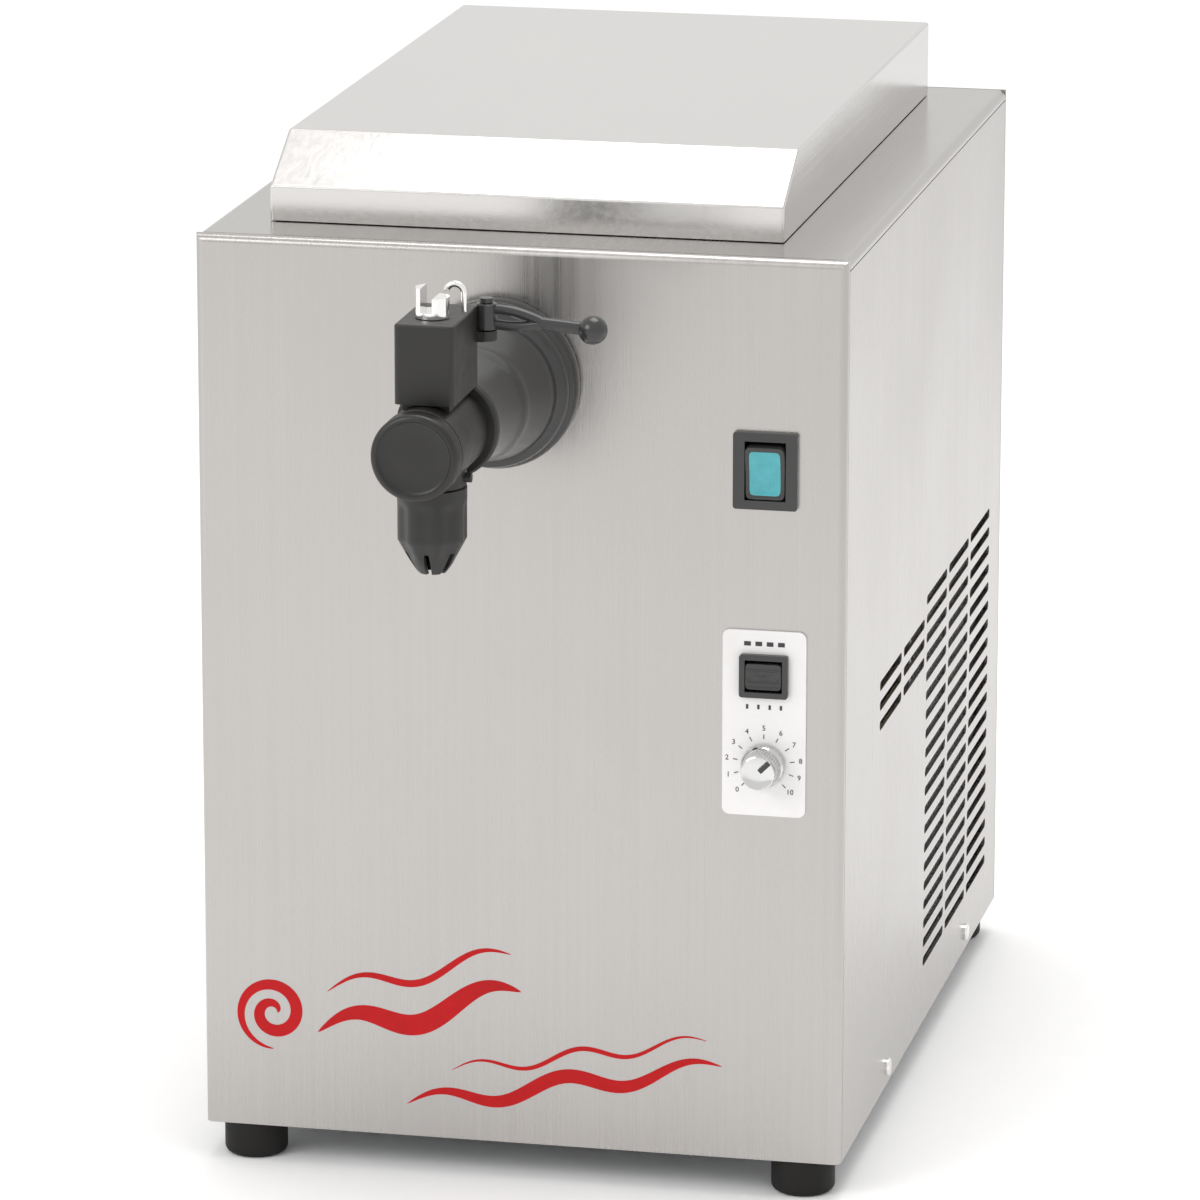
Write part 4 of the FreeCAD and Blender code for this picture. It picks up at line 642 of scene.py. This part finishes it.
def star_nozzle_mesh():
    """The nozzle: outer radius falls to the tip as the height to the power 0.86 and dips between soft
    facet edges as (1 + cos of facets times the angle) / 2; the tip's edge is lifted in a comb, so it ends
    in rounded teeth."""
    lo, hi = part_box("star_nozzle")
    height = float(hi[2] - lo[2])
    r = float(hi[0] - lo[0]) / 2
    depth = piece_settings().facet_depth
    n = 240
    t = np.linspace(0, 2 * np.pi, n, endpoint=False)
    comb = np.clip(np.cos(TIP_SLOTS * t + np.pi) * 2.4 - 1.05, 0, 1)
    lift = TIP_NOTCH * comb
    s = np.linspace(0, 1, 26)
    shank = np.linspace(NOZZLE_TAPER, height - 0.0012, 16)[1:]
    z_outer = np.concatenate([NOZZLE_TAPER * s, shank, [height - 0.0004, height]])
    cone_r = TIP_R + (r - TIP_R) * np.clip(z_outer / NOZZLE_TAPER, 0, 1) ** 0.86
    base_r = np.where(z_outer < NOZZLE_TAPER, cone_r, r)
    base_r[-1] = r - 0.0007
    z = z_outer[:, None] + 0 * t
    z = z + lift[None, :] * np.clip(1 - z / NOTCH_FADE, 0, 1)
    flute = depth * 0.5 * (1 + np.cos(FACETS * t))[None, :]
    fade = np.clip((height - 0.0055 - z) / 0.0015, 0, 1) * np.clip((z - 0.004) / 0.004, 0, 1)
    outer_r = np.interp(z, z_outer, base_r) - flute * fade
    inner_z = np.concatenate([[height, height - 0.001], np.linspace(height - 0.009, 0.0, 26)])
    zi = inner_z[:, None] + lift[None, :] * np.clip(1 - inner_z[:, None] / NOTCH_FADE, 0, 1)
    inner_r = np.minimum(np.interp(zi, z_outer, base_r) - NOZZLE_WALL, 0.0098)
    inner_r = np.maximum(inner_r, 0.0026)
    rr = np.concatenate([outer_r, inner_r], 0)
    zz = np.concatenate([z, zi], 0) + float(lo[2])
    points = np.stack([NOZZLE[0] + rr * np.cos(t), NOZZLE[1] + rr * np.sin(t), zz], -1)
    return sharpen(mesh_object("fluted_nozzle", points, grid_faces(points.shape[0], n, True, True)), 40)


HUB_LIFT = 0.0040
HUB_H = 0.0100
BALL_R = 0.0055


def lever_mesh():
    """The loop lever: two bowed arms leave the hub and meet in a rod that ends in a ball."""
    plo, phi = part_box("lever_pin")
    pivot = np.array([(plo[0] + phi[0]) / 2, (plo[1] + phi[1]) / 2])
    hub_low = float(plo[2]) + HUB_LIFT
    hub_high = hub_low + HUB_H
    ball = np.array([float(high("lever")[0]) - BALL_R, pivot[1], (hub_low + hub_high) / 2 - 0.0035])
    meet = np.array([pivot[0] + (ball[0] - pivot[0]) * 0.55, pivot[1], (hub_low + hub_high) / 2 - 0.0018])
    parts = []
    s = np.linspace(0, 1, 24)[:, None]
    for start_z, bow in ((hub_high - 0.0021, 0.0012), (hub_low + 0.0021, -0.0010)):
        start = np.array([pivot[0] + 0.0022, pivot[1], start_z])
        path = start + (meet - start) * s + np.array([0, 0, 1.0]) * bow * np.sin(np.pi * s)
        parts.append(tube(path, 0.0019, 20))
    run = meet + (ball - meet) * np.linspace(-0.08, 0.86, 16)[:, None]
    parts.append(tube(run, np.linspace(0.00225, 0.00260, 16), 24))
    a = np.linspace(0, np.pi, 33)
    t = np.linspace(0, 2 * np.pi, 40, endpoint=False)
    sphere = ball + BALL_R * np.stack([np.cos(a)[:, None] + 0 * t, np.sin(a)[:, None] * np.cos(t),
                                       np.sin(a)[:, None] * np.sin(t)], -1)
    parts.append((sphere, grid_faces(33, 40, False, True)))
    hub = lathe_points([(0, 0.00156), (0, 0.0036), (0.0004, 0.0040), (0.0096, 0.0040), (0.0100, 0.0036),
                        (0.0100, 0.00156), (0, 0.00156)], (pivot[0], pivot[1], hub_low), (0, 0, 1), 48)
    parts.append((hub, grid_faces(hub.shape[0], 48, False, True)))
    return sharpen(merged("loop_lever", parts), 40)


def wire_clip():
    """The retaining clip: a straight leg, then a hook of wire through a little under half a turn."""
    lo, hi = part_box("retaining_clip")
    wire = 0.0012
    loop = 0.0034
    x = float(hi[0]) - wire - loop
    z = float(hi[2]) - wire - loop
    y = (lo[1] + hi[1]) / 2
    turn = np.linspace(0, np.radians(165), 40)
    leg = np.stack([np.full(10, x + loop), np.full(10, y), np.linspace(float(lo[2]), z - 0.0004, 10)], 1)
    bow = np.stack([x + loop * np.cos(turn), np.full(40, y), z + loop * np.sin(turn)], 1)
    points, faces = tube(np.concatenate([leg, bow]), wire, 18)
    return merged("wire_clip", [(points, faces)])


class CREAM_OT_tap(bpy.types.Operator):
    """Make the tap's bell, cap, nozzle, lever and clip"""
    bl_idname = "cream.tap"
    bl_label = "Tap pieces"

    def execute(self, context):
        finish_piece(tap_bell(), "cabinet", black_gloss(), ["tap_collar"])
        finish_piece(front_cap(), "tap_cap", black_satin(), ["tap_cap"])
        finish_piece(star_nozzle_mesh(), "nozzle", black_satin(), ["star_nozzle"])
        finish_piece(lever_mesh(), "lever", black_gloss(), ["lever"])
        finish_piece(wire_clip(), "cabinet", polished(), ["retaining_clip"])
        return {"FINISHED"}


# ---- controls ----
KNOB_RIBS = 36


def knob_mesh():
    """The dial knob: flared skirt, ribbed grip whose radius ripples as |cos|, bevelled crown, dished face."""
    lo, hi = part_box("dial_knob")
    r = float(hi[0] - lo[0]) / 2
    depth = float(hi[1] - lo[1])
    knurl = piece_settings().knurl

    def ribs(a, t):
        grip = np.clip((a - 0.0016) / 0.0004, 0, 1) * np.clip((0.0076 - a) / 0.0004, 0, 1)
        return -knurl * grip * (1 - np.abs(np.cos(KNOB_RIBS / 2 * t)))

    outline = [(0.0009, 0.0), (0.0007, r * 0.40), (0.0004, r * 0.60), (0.0001, r * 0.70), (0.0, r * 0.735),
               (0.0002, r * 0.78), (0.0010, r * 0.81), (0.0018, r * 0.825), (0.0030, r * 0.83),
               (0.0050, r * 0.835), (0.0074, r * 0.84), (0.0080, r * 0.85), (0.0088, r * 0.93),
               (0.0093, r * 0.985), (0.0098, r),
               (depth - 0.0003, r), (depth, r - 0.0003), (depth, 0.0)]
    return lathe("ribbed_knob", outline, (DIAL[0], float(lo[1]), DIAL[2]), (0, 1, 0), 216, ribs)


def band(path, half, y_face):
    """A thin printed band: its edges lie half a width each side of a path in X and Z, along the path's
    normal, at the face and one print thickness proud of it; each end is gathered to a point."""
    lift = piece_settings().print_lift
    path = np.asarray(path, float)
    along = np.gradient(path, axis=0)
    along = along / np.linalg.norm(along, axis=1)[:, None]
    normal = np.stack([-along[:, 1], along[:, 0]], 1) * np.broadcast_to(half, (len(path),))[:, None]
    rows = []
    for side, y in ((1, y_face), (1, y_face - lift), (-1, y_face - lift), (-1, y_face)):
        edge = path + side * normal
        rows.append(np.stack([edge[:, 0], np.full(len(path), y), edge[:, 1]], 1))
    points = np.stack(rows, 1)
    first = np.repeat(points[:1].mean(1, keepdims=True), 4, 1)
    last = np.repeat(points[-1:].mean(1, keepdims=True), 4, 1)
    points = np.concatenate([first, points, last], 0)
    return points, grid_faces(points.shape[0], 4, False, True)


def bar(x, z, length, half, turn):
    """A short straight printed mark, its middle at x and z, turned from +X towards +Z."""
    u = np.array([math.cos(turn), math.sin(turn)])
    return band(np.array([x, z]) + np.linspace(-0.5, 0.5, 4)[:, None] * length * u, half, PLATE_FACE)


DIAL_STEPS = 11
DIAL_START = 225.0
DIAL_STEP = -27.0
DIAL_RADIUS = 0.0146
TICK_RADIUS = 0.0113
DIGIT_SIZE = 0.0029


def digit(text, x, z):
    """One number of the scale as a thin mesh on the plate: points and triangles."""
    lift = piece_settings().print_lift
    curve = bpy.data.curves.new("digit", "FONT")
    curve.body = text
    curve.size = DIGIT_SIZE
    curve.align_x = "CENTER"
    curve.align_y = "CENTER"
    curve.extrude = lift / 2
    curve.resolution_u = 3
    holder = bpy.data.objects.new("digit", curve)
    bpy.context.scene.collection.objects.link(holder)
    mesh = bpy.data.meshes.new_from_object(holder.evaluated_get(bpy.context.evaluated_depsgraph_get()))
    bpy.data.objects.remove(holder)
    bpy.data.curves.remove(curve)
    mesh.calc_loop_triangles()
    flat = np.array([v.co[:] for v in mesh.vertices])
    faces = np.array([t.vertices[:] for t in mesh.loop_triangles])
    bpy.data.meshes.remove(mesh)
    placed = np.stack([x + flat[:, 0], PLATE_FACE - lift / 2 - flat[:, 2], z + flat[:, 1]], 1)
    return placed, faces


def dial_scale():
    """The printed scale: the numbers 0 to 10 round the knob, with a short tick inside each."""
    parts = []
    for i in range(DIAL_STEPS):
        turn = math.radians(DIAL_START + DIAL_STEP * i)
        u, w = math.cos(turn), math.sin(turn)
        parts.append(digit(str(i), DIAL[0] + DIAL_RADIUS * u, DIAL[2] + DIAL_RADIUS * w))
        parts.append(bar(DIAL[0] + TICK_RADIUS * u, DIAL[2] + TICK_RADIUS * w, 0.0018, 0.00016, turn))
    return merged("dial_scale", parts, False)


def mode_marks():
    """Plain marks for the two modes: four level bars above the rocker, four short upright bars below it."""
    x = float(middle("mode_switch_bezel")[0])
    above = float(high("mode_switch_bezel")[2]) + 0.0040
    below = float(low("mode_switch_bezel")[2]) - 0.0040
    parts = []
    for i in (-1.5, -0.5, 0.5, 1.5):
        parts.append(bar(x + i * 0.0044, above, 0.0026, 0.00085, 0.0))
        parts.append(bar(x + i * 0.0044, below, 0.0018, 0.00045, math.pi / 2))
    return merged("mode_marks", parts, False)


def wave(start, run, rise, swing, turns, width):
    """A rising wave: height = rise times s plus swing times the sine of its turns, and half width
    swelling as the sine of pi times s, to the power 0.7."""
    s = np.linspace(0, 1, 90)
    x = start[0] + run * s
    z = start[1] + rise * s + swing * np.sin(2 * np.pi * turns * s)
    half = 0.00005 + width * np.sin(np.pi * np.clip(s, 0, 1)) ** 0.7
    return band(np.stack([x, z], 1), half, FRONT_Y)


def swirl(centre, reach, turns, width):
    """A cream swirl: a spiral whose radius grows evenly with its angle and whose width fades at both ends."""
    s = np.linspace(0, 1, 150)
    r = reach * (0.12 + 0.88 * s)
    t = 2 * np.pi * turns * s
    half = 0.00005 + width * np.sin(np.pi * s) ** 0.6
    return band(np.stack([centre[0] + r * np.cos(t), centre[1] + r * np.sin(t)], 1), half, FRONT_Y)


def front_decoration():
    """The red print on the lower front: a swirl, and two pairs of waves that rise to the right."""
    x = float(low("front_panel")[0])
    z = float(low("front_panel")[2])
    parts = [swirl((x + 0.028, z + 0.047), 0.0150, 1.75, 0.0024),
             wave((x + 0.046, z + 0.040), 0.082, 0.022, 0.0050, 1.5, 0.0042),
             wave((x + 0.050, z + 0.057), 0.074, 0.020, 0.0040, 1.5, 0.0014),
             wave((x + 0.082, z + 0.013), 0.126, 0.024, 0.0036, 2.5, 0.0028),
             wave((x + 0.100, z + 0.028), 0.102, 0.019, 0.0028, 2.5, 0.0009)]
    return merged("front_decoration", parts, False)


SWITCH_PIVOT = 0.0040
SWITCH_BACK = 0.0058
MAIN_TILT = math.radians(6.0)
MAIN_HALF_H = 0.0104
MAIN_TIP = 0.0034
MAIN_DISH = 0.0012
MODE_HALF_H = 0.0051
MODE_TIP = 0.0038


def cushion(name, centre, half_w, half_h, y_front, y_back, edge, face, tilt=0.0):
    """A key cap from superellipse rings: front depth is face(x, z), the rim rounds off along a quarter
    circle, the sides run straight back, and the whole is turned about its pivot behind the panel."""
    t = np.linspace(0, 2 * np.pi, 112, endpoint=False)
    ux = np.sign(np.cos(t)) * np.abs(np.cos(t)) ** 0.22
    uz = np.sign(np.sin(t)) * np.abs(np.sin(t)) ** 0.22
    rings = []
    for k in np.linspace(0, 1, 22):
        x, z = k * (half_w - edge) * ux, k * (half_h - edge) * uz
        rings.append(np.stack([x, y_front + face(x, z), z], 1))
    for turn in np.linspace(0, np.pi / 2, 6)[1:]:
        x = (half_w - edge + edge * math.sin(turn)) * ux
        z = (half_h - edge + edge * math.sin(turn)) * uz
        rings.append(np.stack([x, y_front + face(x, z) + edge * (1 - math.cos(turn)), z], 1))
    for k in (1.0, 0.0):
        rings.append(np.stack([k * half_w * ux, np.full(len(t), y_back), k * half_h * uz], 1))
    points = np.array(rings)
    pivot = FRONT_Y + SWITCH_PIVOT
    y, z = points[..., 1] - pivot, points[..., 2]
    turned = np.stack([centre[0] + points[..., 0], pivot + y * math.cos(tilt) - z * math.sin(tilt),
                       centre[2] + y * math.sin(tilt) + z * math.cos(tilt)], -1)
    return sharpen(mesh_object(name, turned, grid_faces(turned.shape[0], len(t), False, True)), 50)


def main_rocker_key():
    """The dished rocker round the lit window."""
    centre = middle("main_switch_bezel")
    half_w = float(high("main_rocker")[0] - low("main_rocker")[0]) / 2

    def dish(x, z):
        return MAIN_DISH * (1 - np.clip(np.abs(z) / MAIN_HALF_H, 0, 1) ** 2)

    return cushion("main_rocker_key", centre, half_w, MAIN_HALF_H, FRONT_Y - MAIN_TIP,
                   FRONT_Y + SWITCH_BACK, 0.0005, dish, MAIN_TILT)


def lamp_window():
    """The lit window: follows the rocker's dish a hair proud of it, with fine upright prisms."""
    centre = middle("main_switch_bezel")

    def dish(x, z):
        bowl = MAIN_DISH * (1 - np.clip(np.abs(z) / MAIN_HALF_H, 0, 1) ** 2)
        return bowl + 0.00005 * np.cos(x * 5200.0) - 0.00018

    return cushion("lamp_window", centre, 0.0061, 0.0088, FRONT_Y - MAIN_TIP, FRONT_Y - 0.0015, 0.0003,
                   dish, MAIN_TILT)


def mode_rocker_key():
    """The small rocker with three moulded grip ridges."""
    centre = middle("mode_switch_bezel")
    half_w = float(high("mode_rocker")[0] - low("mode_rocker")[0]) / 2

    def ridges(x, z):
        bumps = sum(np.exp(-((z - place) / 0.00042) ** 2) for place in (-0.0026, 0.0, 0.0026))
        return 0.0008 * (1 - np.clip(np.abs(z) / MODE_HALF_H, 0, 1) ** 2) - 0.00040 * bumps

    return cushion("mode_rocker_key", centre, half_w, MODE_HALF_H, FRONT_Y - MODE_TIP,
                   FRONT_Y + SWITCH_BACK, 0.0004, ridges)


class CREAM_OT_controls(bpy.types.Operator):
    """Make the rockers, the lit window, the dial knob and the printed scale"""
    bl_idname = "cream.controls"
    bl_label = "Control pieces"

    def execute(self, context):
        finish_piece(main_rocker_key(), "main_rocker", black_gloss(), ["main_rocker"])
        finish_piece(lamp_window(), "main_rocker", lamp_lens())
        finish_piece(mode_rocker_key(), "mode_rocker", black_gloss(), ["mode_rocker"])
        finish_piece(knob_mesh(), "dial", chrome(), ["dial_knob"])
        finish_piece(dial_scale(), "cabinet", dark_ink())
        finish_piece(mode_marks(), "cabinet", dark_ink())
        return {"FINISHED"}


class CREAM_OT_decoration(bpy.types.Operator):
    """Make the red print on the lower front"""
    bl_idname = "cream.decoration"
    bl_label = "Front decoration"

    def execute(self, context):
        finish_piece(front_decoration(), "cabinet", red_ink())
        return {"FINISHED"}


CLASSES = [StudioSettings, FinishSettings, PieceSettings, CREAM_OT_studio, CREAM_OT_node_finishes,
           CREAM_OT_tap, CREAM_OT_controls, CREAM_OT_decoration]
STEPS = [c for c in CLASSES if issubclass(c, bpy.types.Operator)]


class CREAM_PT_panel(bpy.types.Panel):
    """Build steps and settings"""
    bl_idname = "CREAM_PT_panel"
    bl_label = "Cream machine"
    bl_space_type = "VIEW_3D"
    bl_region_type = "UI"
    bl_category = "Cream machine"

    def draw(self, context):
        for step in STEPS:
            self.layout.operator(step.bl_idname)
        for settings in (studio(), finish_settings(), piece_settings()):
            column = self.layout.column()
            for label in settings.__annotations__:
                column.prop(settings, label)


def register():
    for c in CLASSES + [CREAM_PT_panel]:
        bpy.utils.register_class(c)
    bpy.types.Scene.cream_studio = PointerProperty(type=StudioSettings)
    bpy.types.Scene.cream_finish = PointerProperty(type=FinishSettings)
    bpy.types.Scene.cream_pieces = PointerProperty(type=PieceSettings)


def unregister():
    del bpy.types.Scene.cream_pieces
    del bpy.types.Scene.cream_finish
    del bpy.types.Scene.cream_studio
    for c in reversed(CLASSES + [CREAM_PT_panel]):
        bpy.utils.unregister_class(c)


def main():
    register()
    for step in STEPS:
        group, action = step.bl_idname.split(".")
        getattr(getattr(bpy.ops, group), action)()


if __name__ == "__main__":
    main()
